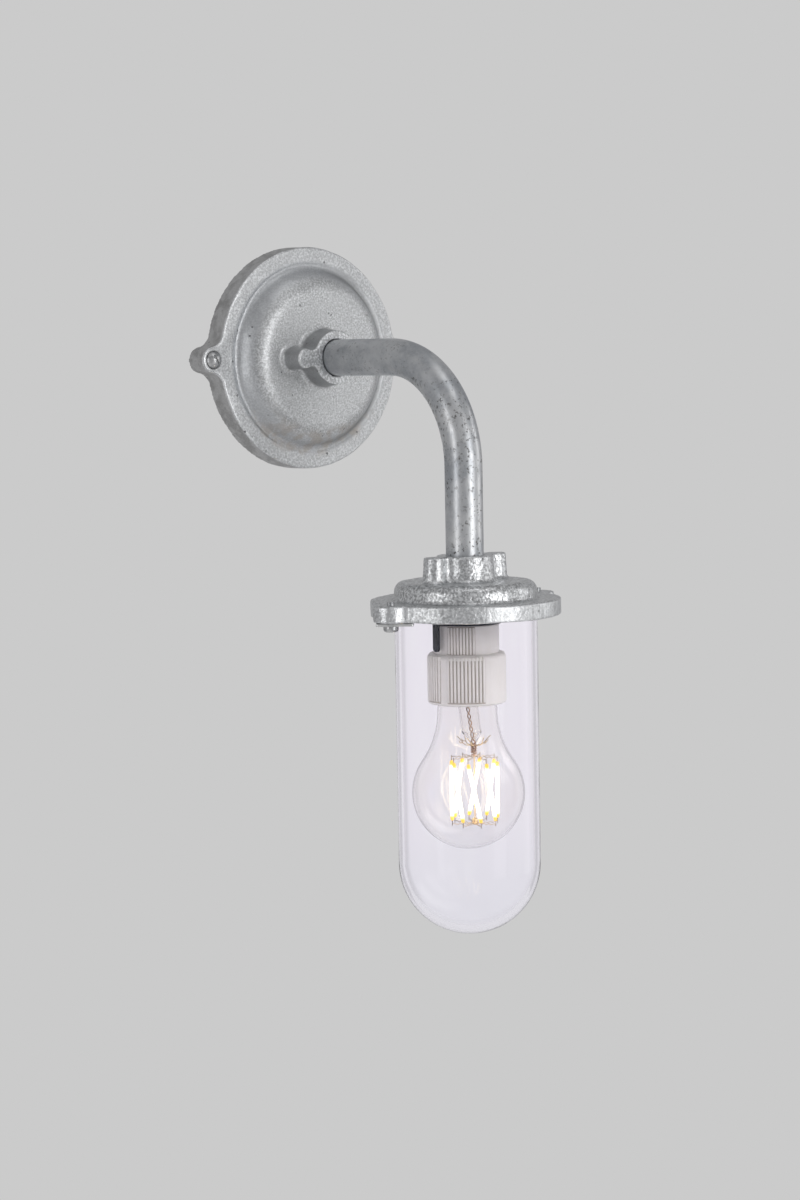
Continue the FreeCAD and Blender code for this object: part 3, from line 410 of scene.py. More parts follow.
def cast(name, node, finish, solids, sizes, look, zones):
    blank = joined(name + "_blank", solids)
    melt = blank.modifiers.new("melt", "REMESH")
    melt.mode = "VOXEL"
    melt.voxel_size = sizes["voxel"] * mm
    soften = blank.modifiers.new("soften", "SMOOTH")
    soften.factor = skin["soften"]
    soften.iterations = skin["passes"]
    piece = plainCopy(blank, name)
    for size, depth, seed in sizes["lumps"]:
        shift = Vector((seed, seed * 2, seed * 3))
        moves = []
        for vertex in piece.data.vertices:
            wave = noise.noise(vertex.co / (size * mm) + shift)
            moves.append(vertex.normal * (wave - skin["sink"]) * depth * mm)
        for vertex, move in zip(piece.data.vertices, moves):
            vertex.co += move
    galvanisedCasting(finish, look, zones)
    finishPiece(piece, "galvanised_casting", "mount_and_head", node, finish=finish, sharp=180)


# Hot-dip galvanised castings: granular zinc, small pits, worn brows, and roots that are rougher and darkened with
# painted shade.
zinc = {"cloud": 18, "pitPatch": 12, "pitDepth": 0.3, "worn": (0.515, 0.57), "dullAndShaded": (0.43, 0.49)}


def galvanisedCasting(name, sizes, zones):
    where, shader = newMaterial(name, Metallic=1.0)
    dark, light = sizes["dark"], sizes["light"]
    grain = where.noise(sizes["grain"], detail=2)
    crinkle = where.noise(sizes["crinkle"], detail=4, roughness=0.6, seed=3)
    cloud = where.noise(zinc["cloud"], detail=3, seed=8)
    patch = where.noise(zinc["pitPatch"], seed=11).above(0.5, 0.56)
    pits = (1 - where.cells(sizes["pit"]).above(0.05, 0.13)) * patch
    worn = pointiness(where).above(*zinc["worn"])
    dullAndShaded = 1 - pointiness(where).above(*zinc["dullAndShaded"])
    tone = coated(
        grain.above(0.4, 0.6).blend(grey(dark), grey(light)),
        (crinkle.above(0.45, 0.7), 0.4, grey(light * 1.1)),
        (cloud.above(0.42, 0.6), 0.35, grey((dark + light) / 2)),
        (grain.above(0.6, 0.68), sizes["glint"], grey(0.93)),
    )
    tone, rough = zones(where, tone, sizes["rough"] + 0.12 * cloud)
    # painted shade darkens the rough hollows and roots; worn brows are lightened and pits darkened
    tone = coated(tone, (dullAndShaded, 0.6, grey(0.2)), (worn, 0.3, grey(0.88)), (pits, 0.75, grey(0.14)))
    relief = bump(crinkle, sizes["crinkleDepth"])
    relief = bump(grain, sizes["grainDepth"], relief)
    relief = bump(1 - pits, zinc["pitDepth"], relief)
    feed(shader, tone, rough + 0.18 * dullAndShaded, relief)


cornerShare = 0.3  # how far in a rounded edge is at its middle


# A rounded edge: how far the outline grows, and at which level.
def roundedEdge(level, edge, side=1):
    return [(0.0, level - side * edge), (-edge * cornerShare, level - side * edge * cornerShare), (-edge, level)]


def earedLevels(sizes, edges):
    return [(earedOutline(sizes["radius"] + grow, sizes["ear"] + grow, sizes["earOffset"],
                          sizes["earBlend"] - grow), level) for grow, level in edges]


# The eared boss that the tube screws into, the same on both castings.
boss = {"radius": 15.2, "height": 13.6, "draft": 0.7, "root": 1.9, "rootSteps": 6, "earOffset": 21.4,
        "ear": 5.7, "halfNeck": 4.7, "discBlend": 4.0, "earBlend": 3.0, "topRound": 0.8, "bore": 10.05}


def bossLevels(foot):
    draft, root = boss["draft"], boss["root"]
    spots = [(draft + root, foot - root)]
    for step in range(boss["rootSteps"] + 1):
        angle = pi / 2 * step / boss["rootSteps"]
        spots.append((draft + root * (1 - sin(angle)), foot + root * (1 - cos(angle))))
    spots += roundedEdge(foot + boss["height"], boss["topRound"])
    return [(neckedOutline(boss["radius"] + grow, boss["ear"] + grow, boss["earOffset"], boss["halfNeck"] + grow,
                           boss["discBlend"] - grow, boss["earBlend"] - grow), level) for grow, level in spots]


# The wall plate: a rim with two ears, a hollow ring, a dome and its boss.
plate = {
    "radius": 61.9, "depth": 13.4, "draft": 0.3, "edge": 0.9, "rimInner": 53.1, "rimStep": 0.7,
    "rimRound": 0.3, "domeFoot": 50.2, "brow": 43.4, "rise": 10.8, "rootRound": 4.0, "shoulder": 14.5, "wall": 4.6,
    "cavity": 56.4, "overlap": 3, "lift": 0.6, "inner": 3.0, "ear": 7.3, "earOffset": 66.6, "earBlend": 8.5,
    "voxel": 0.72, "lumps": ((16, 0.3, 1), (5, 0.1, 2)),
}
plateSkin = {
    "grain": 1.0, "grainDepth": 0.075, "crinkle": 2.4, "crinkleDepth": 0.1, "dark": 0.43, "light": 0.67,
    "rough": 0.40, "pit": 6.5, "glint": 0.35,
}
plateZone = {  # reaches from the plate's middle, and levels out of the wall
    "rim": (52.2, 53.0), "rimLevel": (12.2, 12.9), "side": (54, 56), "sideLevel": (12.0, 12.8),
    "boss": (26, 30), "bossWall": (25.4, 36.4, 0.5), "bossFace": (36.6, 37.1), "front": (10.5, 11.5),
    "channel": (46, 52, 4), "shade": (47.5, 52.6, 2.5), "shadeSide": (0, 34), "stained": (43, 52, 5),
    "foot": (-44, -26), "screwShadow": (4.8, 5.7), "speckle": 1.3, "stain": 7,
}


# A pale flat rim, a stained channel with painted shade on its right, dull side walls, a grey boss and a painted
# shadow round each wall screw.
def plateZones(where, tone, rough):
    zone = plateZone
    reach = where.reach((1, 0, 1))
    out = 0 - where.part("Y")
    low = 1 - where.part("Z").above(*zone["foot"])
    stain = where.noise(zone["stain"], detail=4, seed=21).above(0.42, 0.6)
    speckle = where.noise(zone["speckle"], detail=3, seed=17).above(0.46, 0.58)
    rim = reach.above(*zone["rim"]) * out.above(*zone["rimLevel"])
    side = reach.above(*zone["side"]) * (1 - out.above(*zone["sideLevel"]))
    bossWall = (1 - reach.above(*zone["boss"])) * out.between(*zone["bossWall"])
    bossFace = (1 - reach.above(*zone["boss"])) * out.above(*zone["bossFace"])
    front = out.above(*zone["front"])
    shaded = where.part("X").above(*zone["shadeSide"]) * front
    screw = (plate["earOffset"] * mm, 0, 0)
    fromScrew = where.vectorMaths("ABSOLUTE").vectorMaths("SUBTRACT", screw).reach((1, 0, 1))
    tone = coated(
        tone, (rim, 0.5, speckle.blend(grey(0.5), grey(0.82))),
        (bossFace, 0.7, speckle.blend(grey(0.5), grey(0.9))),
        (side, 0.7, stain.blend(grey(0.52, 0.02), grey(0.34, 0.03))),
        (bossWall, 0.75, grey(0.4)),
        (reach.between(*zone["channel"]) * front, 0.55, rgb(0.5, 0.515, 0.535)),
        # painted shade on the right side of the channel and the dome's root
        (reach.between(*zone["shade"]) * shaded, 0.7, grey(0.3)),
        (reach.between(*zone["stained"]) * front * low * stain, 0.55, rgb(0.42, 0.375, 0.33)),
        # a painted shadow ring round each wall screw's head
        (1 - fromScrew.above(*zone["screwShadow"]), 1.0, grey(0.16)),
    )
    return tone, rough + 0.1 * side - 0.05 * rim


def wallPlate(depth, draft, edge, rimInner, rimStep, rimRound, domeFoot, brow, rise, rootRound, shoulder, wall,
              cavity, overlap, lift, inner, **others):
    face, inset, around = depth + rise, depth - rimStep, cavity + overlap
    dome = turned("dome", rounded([
        (around, lift, 0), (around, depth, 0), (rimInner, depth, rimRound), (rimInner - rimStep, inset, 0),
        (domeFoot, inset, rootRound), (brow, face, shoulder), (boss["bore"], face, 0),
        (boss["bore"], face - wall, 0), (brow - wall, face - wall, inner), (domeFoot - wall, depth - wall, inner),
        (cavity, depth - wall, inner / 2), (cavity, lift, 0),
    ], steps=20), onPlate, sides=256)
    rim = lofted("rim", earedLevels(plate, [(draft, 0.0)] + roundedEdge(depth, edge)), cavity, onPlate)
    stub = lofted("plateBoss", bossLevels(face), boss["bore"], onPlate)
    cast("wall_plate_casting", "wall_plate", "plate_casting", [dome, rim, stub], plate, plateSkin, plateZones)


# The head: a flange with two ears, a cap and its boss, hollow underneath.
head = {
    "under": -136.3, "thick": 9.2, "radius": 50.5, "edge": 0.8, "ear": 9.4, "earOffset": 51.4, "earBlend": 4.0,
    "cap": 38.4, "rise": 9.3, "draft": 1.0, "shoulder": 5.2, "root": 1.4, "wall": 4.2, "inner": 2.5,
    "recess": 43.6, "recessDepth": 5.4, "overlap": 3, "lift": 0.6, "voxel": 0.62,
    "lumps": ((12, 0.25, 4), (3.5, 0.12, 5)),
}
headSkin = {"grain": 1.25, "grainDepth": 0.3, "crinkle": 3.0, "crinkleDepth": 0.32, "dark": 0.37,
            "light": 0.82, "rough": 0.25, "pit": 5.0, "glint": 0.9}
headZone = {"edge": (49.2, 49.9), "edgeLevel": (-135.6, -127.9, 0.4), "worked": (-6, 12),
            "workedToward": (0.77, -0.64), "brush": 1.1, "brushStretch": (1, 1, 0.12), "patch": 13}


# The flange's edge has fine upright marks where it was turned.
def headZones(where, tone, rough):
    zone = headZone
    centred = where.vectorMaths("ADD", (0, armReach * mm, 0))
    edge = centred.reach((1, 1, 0)).above(*zone["edge"]) * where.part("Z").between(*zone["edgeLevel"])
    towardX, towardY = zone["workedToward"]
    worked = edge * (centred.part("X") * towardX + centred.part("Y") * towardY).above(*zone["worked"])
    marks = where.noise(zone["brush"], detail=3, stretch=zone["brushStretch"], seed=31).above(0.4, 0.62)
    patch = where.noise(zone["patch"], detail=2, seed=33).above(0.44, 0.56)
    tone = coated(tone, (worked, 0.7, marks.blend(grey(0.52), grey(0.8))), (edge * patch, 0.3, grey(0.85)))
    return tone, rough + 0.09 * worked


def headCasting(under, thick, edge, cap, rise, draft, shoulder, root, wall, inner, recess, recessDepth, overlap,
                lift, **others):
    flangeTop = under + thick
    capTop = flangeTop + rise
    recessTop = under + recessDepth
    hollow, around = cap - wall, recess + overlap
    shell = turned("cap", rounded([
        (around, under + lift, 0), (around, flangeTop, 0), (cap, flangeTop, root), (cap - draft, capTop, shoulder),
        (boss["bore"], capTop, 0), (boss["bore"], capTop - wall, 0), (hollow, capTop - wall, inner),
        (hollow, recessTop, 0), (recess, recessTop, 0), (recess, under + lift, 0),
    ]), onHead, sides=256)
    edges = roundedEdge(under, edge, -1)[::-1] + roundedEdge(flangeTop, edge)
    flange = lofted("flange", earedLevels(head, edges), recess, onHead)
    stub = lofted("headBoss", bossLevels(capTop), boss["bore"], onHead)
    cast("head_casting_skin", "head_casting", "head_casting", [shell, flange, stub], head, headSkin, headZones)


wallPlate(**plate)
headCasting(**head)
print("castings made")


# A tree that shapes the geometry it is given, makes it real and paints it.
def shapeTree(name, inputs, shape):
    tree = bpy.data.node_groups.new(name, "GeometryNodeTree")
    for label, kind in (("Geometry", "Geometry"), *inputs, ("Finish", "Material")):
        tree.interface.new_socket(label, in_out="INPUT", socket_type="NodeSocket" + kind)
    tree.interface.new_socket("Geometry", in_out="OUTPUT", socket_type="NodeSocketGeometry")
    given = tree.nodes.new("NodeGroupInput")
    strands = [Strand(tree, given.outputs[i]) for i in range(len(inputs) + 2)]
    real = strands[0].add("GeometryNodeRealizeInstances", {0: shape(*strands[:-1])})
    painted = real.add("GeometryNodeSetMaterial", {"Geometry": real, "Material": strands[-1]})
    painted.add("NodeGroupOutput", {0: painted})
    return tree


def applyTree(piece, tree, name, **values):
    modifier = piece.modifiers.new("shape", "NODES")
    modifier.node_group = tree
    sockets = {item.name: item.identifier for item in tree.interface.items_tree if item.in_out == "INPUT"}
    for key, value in values.items():
        modifier[sockets[key]] = value
    piece.data.update_tag()
    return plainCopy(piece, name)


def sweptWall(line, radius, sides, ends):  # a round wall along a line
    ring = line.add("GeometryNodeCurvePrimitiveCircle", {"Radius": radius, "Resolution": sides})
    return line.add("GeometryNodeCurveToMesh", {"Curve": line, "Profile Curve": ring, "Fill Caps": ends})


def setAround(shape, count, step, first, bands, centre):  # copies turned round an upright axis
    line = {"Count": count * bands, "Offset": (0, 0, 0), "Start Location": centre}
    spots = shape.add("GeometryNodeMeshLine", line)
    index = shape.add("GeometryNodeInputIndex")
    band = (index / count).maths("FLOOR")
    turn = first + index.maths("MODULO", count) * step + band * fullTurn / bands
    euler = shape.add("ShaderNodeCombineXYZ", {"Z": turn})
    return shape.add("GeometryNodeInstanceOnPoints", {"Points": spots, "Instance": shape, "Rotation": euler})


sweep = shapeTree("sweepTube", (("Radius", "Float"), ("Sides", "Int"), ("Ends", "Bool")), sweptWall)
ring = shapeTree("setRound", (("Count", "Int"), ("Step", "Float"), ("First", "Float"), ("Bands", "Int"),
                              ("Centre", "Vector")), setAround)


def setRound(piece, name, finish, centre, count, step, first=0.0, bands=1):
    return applyTree(piece, ring, name, Count=count, Step=step, First=first, Bands=bands, Centre=centre * mm,
                     Finish=finishes[finish])


def swept(name, points, radius, finish, sides=8, ends=True):  # a wire or a wall along points in mm
    data = bpy.data.curves.new(name, "CURVE")
    data.dimensions = "3D"
    spline = data.splines.new("POLY")
    spline.points.add(len(points) - 1)
    for spot, point in zip(spline.points, points):
        spot.co = (*(Vector(point) * mm), 1)
    return applyTree(newObject(name, data), sweep, name, Radius=radius * mm, Sides=sides, Ends=ends,
                     Finish=finishes[finish])


# Drawn steel conduit, zinc coated: smoother, with dark specks and mottled streaks along it.
tube = {"radius": 10.0, "wall": 1.6, "bend": 58.0, "start": 19.6, "foot": -122.0, "runStep": 4.0,
        "bendSteps": 40, "sides": 96}
tubeNoise = {  # size, detail, roughness, stretch and seed of each
    "stain": (13.0, 5, 0.65, (1, 0.55, 0.55)), "speck": (1.7, 4, 0.65, None, 4), "fleck": (3.6, 4, 0.75, None, 14),
    "spread": (15, 3, 0.55, None, 9), "fine": (0.9, 3, 0.55, None, 6), "ripple": (4.2, 3, 0.55, (1, 0.5, 0.5), 2),
}
tubeSkin = {"grainDepth": 0.03, "rippleDepth": 0.13, "bentUnder": (-14, -6)}


def galvanisedTube():
    where, shader = newMaterial("galvanised_tube", Metallic=1.0)
    stain, speck, fleck, spread, fine, ripple = [where.noise(*values) for values in tubeNoise.values()]
    bent = 1 - where.part("Z").above(*tubeSkin["bentUnder"])  # the run from the wall is cleaner
    marks = speck.above(0.57, 0.62) * spread.above(0.42, 0.54) * (0.4 + 0.6 * bent)
    flecks = fleck.above(0.56, 0.63) * (1 - spread.above(0.5, 0.6)) * (0.25 + 0.75 * bent)
    tone = coated(
        stain.above(0.38, 0.62).blend(rgb(0.41, 0.43, 0.455), rgb(0.60, 0.61, 0.62)),
        (ripple.above(0.5, 0.66) * bent, 0.5, rgb(0.74, 0.745, 0.75)),
        (fine.above(0.5, 0.7), 0.25, rgb(0.7, 0.7, 0.7)),
        (flecks, 0.5, rgb(0.17, 0.165, 0.16)),
        (marks, 0.85, rgb(0.1, 0.095, 0.09)),
    )
    rough = 0.27 + 0.14 * stain + 0.08 * fine + 0.25 * marks
    relief = bump(fine, tubeSkin["grainDepth"], bump(ripple, tubeSkin["rippleDepth"]))
    feed(shader, tone, rough, relief)


def armTube(radius, wall, bend, start, foot, runStep, bendSteps, sides):
    centre = (-armReach + bend, -bend)
    points = [(0, -start - step * runStep, 0) for step in range(int((armReach - bend - start) / runStep))]
    for step in range(bendSteps + 1):
        angle = pi / 2 * step / bendSteps
        points.append((0, centre[0] - bend * sin(angle), centre[1] + bend * cos(angle)))
    drop = centre[1] - foot
    steps = int(drop / runStep)
    points += [(0, -armReach, centre[1] - drop * step / steps) for step in range(1, steps + 1)]
    piece = swept("arm_tube_skin", points, radius, "galvanised_tube", sides, ends=False)
    tidyMesh(piece.data)
    outward = piece.data.polygons[0]
    if outward.normal.dot(outward.center) < 0:
        piece.data.flip_normals()
    solid = piece.modifiers.new("wall", "SOLIDIFY")
    solid.thickness = wall * mm
    solid.offset = -1
    finishPiece(plainCopy(piece, "arm_tube_skin"), "galvanised_tube", "mount_and_head", "arm_tube")


galvanisedTube()
armTube(**tube)
print("arm made")


# Clear blown glass: hardly any colour, a tint that is darker and cooler towards the bottom, faint smears and slow
# ripples in its surface.
glass = {"smear": 13, "smearStretch": (1, 1, 0.4), "cool": rgb(0.945, 0.95, 0.96), "coolUnder": (-300, -225)}


def clearGlass(name, tint, ripple, rippleDepth, refraction, wipe):
    where, shader = newMaterial(name, **{"Transmission Weight": 1.0, "IOR": refraction})
    smear = where.noise(glass["smear"], detail=4, stretch=glass["smearStretch"])
    tone = smear.above(0.45, 0.7).blend(tint, rgb(1, 1, 1))
    tone = (1 - where.part("Z").above(*glass["coolUnder"])).blend(tone, glass["cool"])
    slow = where.noise(ripple, detail=1, seed=3)
    feed(shader, tone, wipe * smear.above(0.5, 0.7), bump(slow, rippleDepth))


# The well glass: a lip, a straight wall and a round end, ground smooth inside.
well = {"radius": 37.75, "wall": 3.0, "lip": 43.0, "lipThick": 3.4, "lipRound": 1.2, "mouthRound": 0.8,
        "neckRound": 0.6, "top": -132.9, "dome": -268.6, "crown": 1.0, "steps": 48, "wallSteps": 16}
wellLook = {"tint": rgb(0.99, 0.982, 0.995), "ripple": 30, "rippleDepth": 0.12, "refraction": 1.2, "wipe": 0.04}


def wellGlass(radius, wall, lip, lipThick, lipRound, mouthRound, neckRound, top, dome, crown, steps, wallSteps):
    bore = radius - wall
    under = top - lipThick
    outer = Vector((0, dome))
    inner = Vector((0, dome + crown))
    line = rounded([(bore, top, mouthRound), (lip, top, lipRound), (lip, under, lipRound),
                    (radius, under, neckRound), (radius, dome, 0), (bore, dome, 0)])[:-2]
    low = under - neckRound
    line += [Vector((radius, low + (dome - low) * step / wallSteps)) for step in range(1, wallSteps)]
    line += arcBetween(outer, (radius, outer.y), (0, outer.y - radius), steps)
    line += arcBetween(inner, (0, inner.y - bore), (bore, inner.y), steps)
    high = top - mouthRound
    line += [Vector((bore, inner.y + (high - inner.y) * step / wallSteps)) for step in range(1, wallSteps)]
    piece = turned("well_glass_clear", line, onHead, sides=160)
    finishPiece(piece, "well_glass", "glass_unit", "well_glass")


# The lamp's glass: a ball drawn up into a neck and in to the cap.
lamp = {"radius": 30.0, "wall": 1.0, "neck": 16.0, "neckHeight": 43.7, "seal": 13.1, "sealRise": 6.7,
        "centre": -230.7, "capFoot": -180.3, "steps": (32, 14, 24, 8)}
lampLook = {"tint": rgb(0.99, 0.98, 0.97), "ripple": 18, "rippleDepth": 0.05, "refraction": 1.3, "wipe": 0.02}


def lampGlass(radius, wall, neck, neckHeight, seal, sealRise, centre, capFoot, steps):
    hollow = (neck ** 2 + neckHeight ** 2 - radius ** 2) / (2 * (radius - neck))
    hub = Vector((0, centre))
    hollowHub = Vector((neck + hollow, centre + neckHeight))
    narrow = neck - seal
    draw = (narrow ** 2 + sealRise ** 2) / (2 * narrow)
    sides = []
    for inset in (0.0, wall):
        ball = radius - inset
        join = hub + (hollowHub - hub).normalized() * ball
        neckEnd = Vector((neck - inset, hollowHub.y))
        sealEnd = Vector((seal - inset, capFoot))
        sides.append(chained(
            (hub, (0, hub.y - ball), (ball, hub.y), steps[0]), (hub, (ball, hub.y), join, steps[1]),
            (hollowHub, join, neckEnd, steps[2]), ((neckEnd.x - draw, neckEnd.y), neckEnd, sealEnd, steps[3]),
        ))
    piece = turned("lamp_glass_clear", sides[0] + sides[1][::-1], onHead, sides=160)
    finishPiece(piece, "lamp_glass", "lamp", "lamp_glass")


clearGlass("well_glass", **wellLook)
clearGlass("lamp_glass", **lampLook)
wellGlass(**well)
lampGlass(**lamp)
print("glasses made")

# The ribbed lampholder: a closed body, and a skirt screwed up round it.
holder = {"radius": 17.4, "top": -140.2, "foot": -159.2, "wall": 2.0, "footRound": 0.4, "inner": 0.6,
          "ribProud": 0.7, "ribHalf": 0.55, "ribEase": 0.2, "ribPitch": 5.4, "bands": ((9, 39.7),)}
skirt = {
    "radius": 20.9, "top": -155.6, "foot": -182.6, "wall": 2.1, "shoulder": 3.0, "footRound": 1.6, "inner": 0.4,
    "neck": 17.5, "neckRound": 0.3, "innerTop": -158.1, "ribPitch": 5.2, "ribHalf": 0.58, "ribProud": 0.75,
    "ribTop": 0.9, "ribFoot": 2.24, "ribEase": 0.25, "bands": ((11, 47.7), (6, -7.0)),
}
ribs = {"root": 0.5, "shoulder": 0.55, "arc": (0.5, 0.9, 1.25), "taper": 0.4}
grooveShade = {"deep": 1.7, "proud": 0.05, "rim": 0.1}  # how far the painted shade in the grooves reaches from the skin


# One upright rib: a deep bar with a round outer face and an eased top and foot.
def ribBar(inner, sizes, low, high):
    skinAt, half, ease = sizes["radius"], sizes["ribHalf"], sizes["ribEase"]
    outer = skinAt + sizes["ribProud"]
    shoulder = half * ribs["shoulder"]
    side = [(inner, -half), (skinAt, -half), (outer - shoulder, -half)]
    side += [(outer - shoulder * (1 - sin(a)), -half * cos(a)) for a in ribs["arc"]]
    outline = side + [(outer, 0.0)] + [(u, -v) for u, v in reversed(side)]
    verts = []
    for level, inset in ((low, ease), (low + ease, 0.0), (high - ease, 0.0), (high, ease)):
        verts += [Vector((u - inset if u > inner else u, v * (1 - inset * ribs["taper"]), level)) * mm
                  for u, v in outline]
    count = len(outline)
    faces = [list(range(count)), list(range(3 * count, 4 * count))] + loopFaces(4, count)
    return newPiece("rib", verts, faces)


# Marks the ribs' feet and the skin beside them, where painted shade darkens the grooves.
def markGrooveShade(piece, sizes, low, high):
    marks = piece.data.attributes.new("grooveShade", "FLOAT", "POINT")
    inmost, outmost = sizes["radius"] - grooveShade["deep"], sizes["radius"] + grooveShade["proud"]
    for index, vertex in enumerate(piece.data.vertices):
        across = vertex.co / mm - headAxis
        if not (low < across.z < high and inmost < across.xy.length < outmost):
            continue
        turn = degrees(atan2(across.y, across.x))
        for count, middle in sizes["bands"]:
            aside = abs((turn - middle + 90) % 180 - 90)
            if aside < sizes["ribPitch"] * count / 2:
                marks.data[index].value = 1.0


# A shell with bands of ribs on both sides of the axis, and painted shade in its grooves between two heights.
def ribbedShell(node, sizes, shell, inner, ribHeights, shadeHeights):
    pitch = radians(sizes["ribPitch"])
    pieces = [shell]
    for count, middle in sizes["bands"]:  # a number of ribs and their middle in degrees
        first = radians(middle) - pitch * (count - 1) / 2
        rib = ribBar(inner + ribs["root"], sizes, *ribHeights)
        pieces.append(setRound(rib, "ribs", "ivory_plastic", headAxis, count, pitch, first, 2))
    piece = joined(node + "_moulded", pieces)
    markGrooveShade(piece, sizes, *shadeHeights)
    finishPiece(piece, "ivory_plastic", "mount_and_head", node, sharp=45)


def holderBody(radius, top, foot, wall, footRound, inner, ribEase, **others):
    bore = radius - wall
    shell = turned("holderShell", rounded([
        (0, top, 0), (radius, top, wall / 2), (radius, foot, footRound), (bore, foot, footRound),
        (bore, top - wall, inner), (0, top - wall, 0),
    ]), onHead, sides=160)
    ribbedShell("holder_body", holder, shell, bore, (skirt["top"] + ribEase, top - wall / 2),
                (foot, top - ribs["root"]))


def holderSkirt(radius, top, foot, wall, shoulder, footRound, inner, neck, neckRound, innerTop, ribTop, ribFoot,
                **others):
    inside = radius - wall
    shell = turned("skirtShell", rounded([
        (neck, top, neckRound), (radius, top, shoulder), (radius, foot, footRound), (inside, foot, inner),
        (inside, innerTop, 0), (neck, innerTop, 0),
    ], steps=10), onHead, sides=192)
    ribbedShell("holder_skirt", skirt, shell, inside, (foot + ribFoot, top - ribTop),
                (foot + footRound - grooveShade["rim"], top - shoulder + grooveShade["rim"]))


holderBody(**holder)
holderSkirt(**skirt)
print("lampholder made")

# The lamp's inside: eight strips round a leaning stem, with the wires that carry them.
cage = {"lean": 3.2, "leanDegrees": -39.8, "count": 8, "circle": 12.5, "twistDegrees": 30.0,
        "turnDegrees": 33.7, "length": 31.2, "middle": -229.8, "stripRadius": 0.95, "lead": 1.9, "hook": 0.9,
        "wire": 0.2, "leadWire": 0.24, "hub": 1.3, "hubRise": 0.4, "kinks": 8, "kink": 0.32}
hot = {"halfLength": 15.6, "end": 4.6, "endFade": 0.35, "strength": 5.0, "bead": 1.1, "beadDepth": 0.05}
stem = {"top": -180.8, "leanFrom": -184.0, "leanTo": -206.0, "flare": 5.4, "pinch": -204.0, "neck": 1.7,
        "foot": -210.5, "wall": 0.6, "helix": 0.75, "pitch": 7.0, "wire": 0.32, "coil": 1.25, "coilTurns": 5,
        "bottom": -247.5, "rodWire": 0.35, "knot": 1.3, "knotTurns": 4, "knotWire": 0.4}
support = {
    "count": 6, "first": 0.5, "wire": 0.24, "foot": 0.8, "reach": 9.0, "under": 2.5, "rise": 5.6, "curve": 1.6,
    "wave": 0.5, "waves": 9, "sway": 0.9, "sways": 4, "steps": 8, "twigAt": 5,
    "twig": ((1.6, 0.9, 0.2), (2.2, 1.2, 1.2)),
}
lean = radians(cage["leanDegrees"])
cageAxis = Vector((cage["lean"] * cos(lean), cage["lean"] * sin(lean) - armReach, 0))
bar = {"flat": 0.6, "arc": (0.0, 0.5, 1.0, pi / 2), "tip": 0.02}


def filamentGlow():
    where, shader = newMaterial("filament", **{"Emission Strength": hot["strength"]})
    offset = (where.part("Z") - cage["middle"]).maths("ABSOLUTE")
    towardEnd = offset.above(hot["halfLength"] - hot["end"], hot["halfLength"] - hot["end"] * hot["endFade"])
    beads = where.noise(hot["bead"], detail=1)
    glow = beads.above(0.35, 0.7).blend(rgb(1.0, 0.86, 0.58), rgb(1.0, 0.94, 0.78))
    glow = towardEnd.blend(glow, rgb(0.15, 0.105, 0.008))
    tone = towardEnd.blend(rgb(0.95, 0.75, 0.3), rgb(0.85, 0.5, 0.15))
    feed(shader, tone, 0.4 + 0.2 * beads, bump(beads, hot["beadDepth"]), glow)


# A bar between two points, with rounded ends.
def roundedBar(start, end, radius, sides):
    along = (end - start).normalized()
    turn = along.to_track_quat("Z", "Y")
    profile = [(radius * sin(a), -radius * cos(a) * bar["flat"]) for a in bar["arc"]]
    rings = [(reach, start + along * (radius * bar["flat"] + rise)) for reach, rise in profile]
    rings += [(reach, end - along * (radius * bar["flat"] + rise)) for reach, rise in reversed(profile)]
    verts = []
    for reach, middle in rings:
        for side in range(sides):
            angle = fullTurn * side / sides
            out = turn @ Vector((cos(angle), sin(angle), 0)) * max(reach, radius * bar["tip"])
            verts.append((middle + out) * mm)
    last = (len(rings) - 1) * sides
    faces = loopFaces(len(rings), sides) + [list(range(sides)), list(range(last, last + sides))]
    return newPiece("bar", verts, faces)


def aroundCage(bearing, level):
    angle = radians(bearing)
    return Vector((cage["circle"] * cos(angle), cage["circle"] * sin(angle), level))


def onStem(u, v, level):  # a place beside the leaning line of the stem
    share = (stem["leanFrom"] - level) / (stem["leanFrom"] - stem["leanTo"])
    middle = headAxis.lerp(cageAxis, min(max(share, 0.0), 1.0))
    return Vector((middle.x + u, middle.y + v, level)) * mm


def helix(radius, top, foot, turns, phase, steps=14):
    points = []
    for step in range(int(turns * steps) + 1):
        angle = phase + fullTurn * step / steps
        level = top + (foot - top) * step / (turns * steps)
        points.append(onStem(radius * cos(angle), radius * sin(angle), level) / mm)
    return points


def kinkedSpoke(hub, corner):
    points = [hub.lerp(corner, step / cage["kinks"]) for step in range(cage["kinks"] + 1)]
    for step, point in enumerate(points[1:-1]):
        point.z += cage["kink"] * (-1 if step % 2 else 1)
    return points


# A clear flare that leans with the stem.
def stemFlare(top, flare, pinch, neck, foot, wall, **others):
    piece = turned("stem_flare_clear", rounded([
        (flare, top, 0), (flare - 0.2, pinch + 5, 2.2), (neck, pinch, 2.0), (neck, foot, 0.8), (0, foot, 0),
        (0, pinch + 1.4, 0), (neck - 0.3, pinch + 1.8, 0.6), (flare - wall - 0.2, pinch + 5.8, 1.8),
        (flare - wall, top, 0),
    ]), onStem, sides=96)
    finishPiece(piece, "lamp_glass", "lamp", "lamp_stem")


# Two twisted wires down the stem, and a coil round its pinch.
def stemWires():
    turns = (stem["top"] - stem["foot"]) / stem["pitch"]
    twists = [swept("twist", helix(stem["helix"], stem["top"], stem["foot"] + 1, turns, phase),
                    stem["wire"], "peach_wire") for phase in (0.0, pi)]
    loops = helix(stem["coil"], stem["pinch"] - 1, stem["foot"] - 1, stem["coilTurns"], 0.4)
    for piece in (joined("stem_wires_twisted", twists), swept("stem_coil", loops, stem["wire"], "peach_wire")):
        finishPiece(piece, "frame_wire", "lamp", finish="peach_wire", sharp=60)


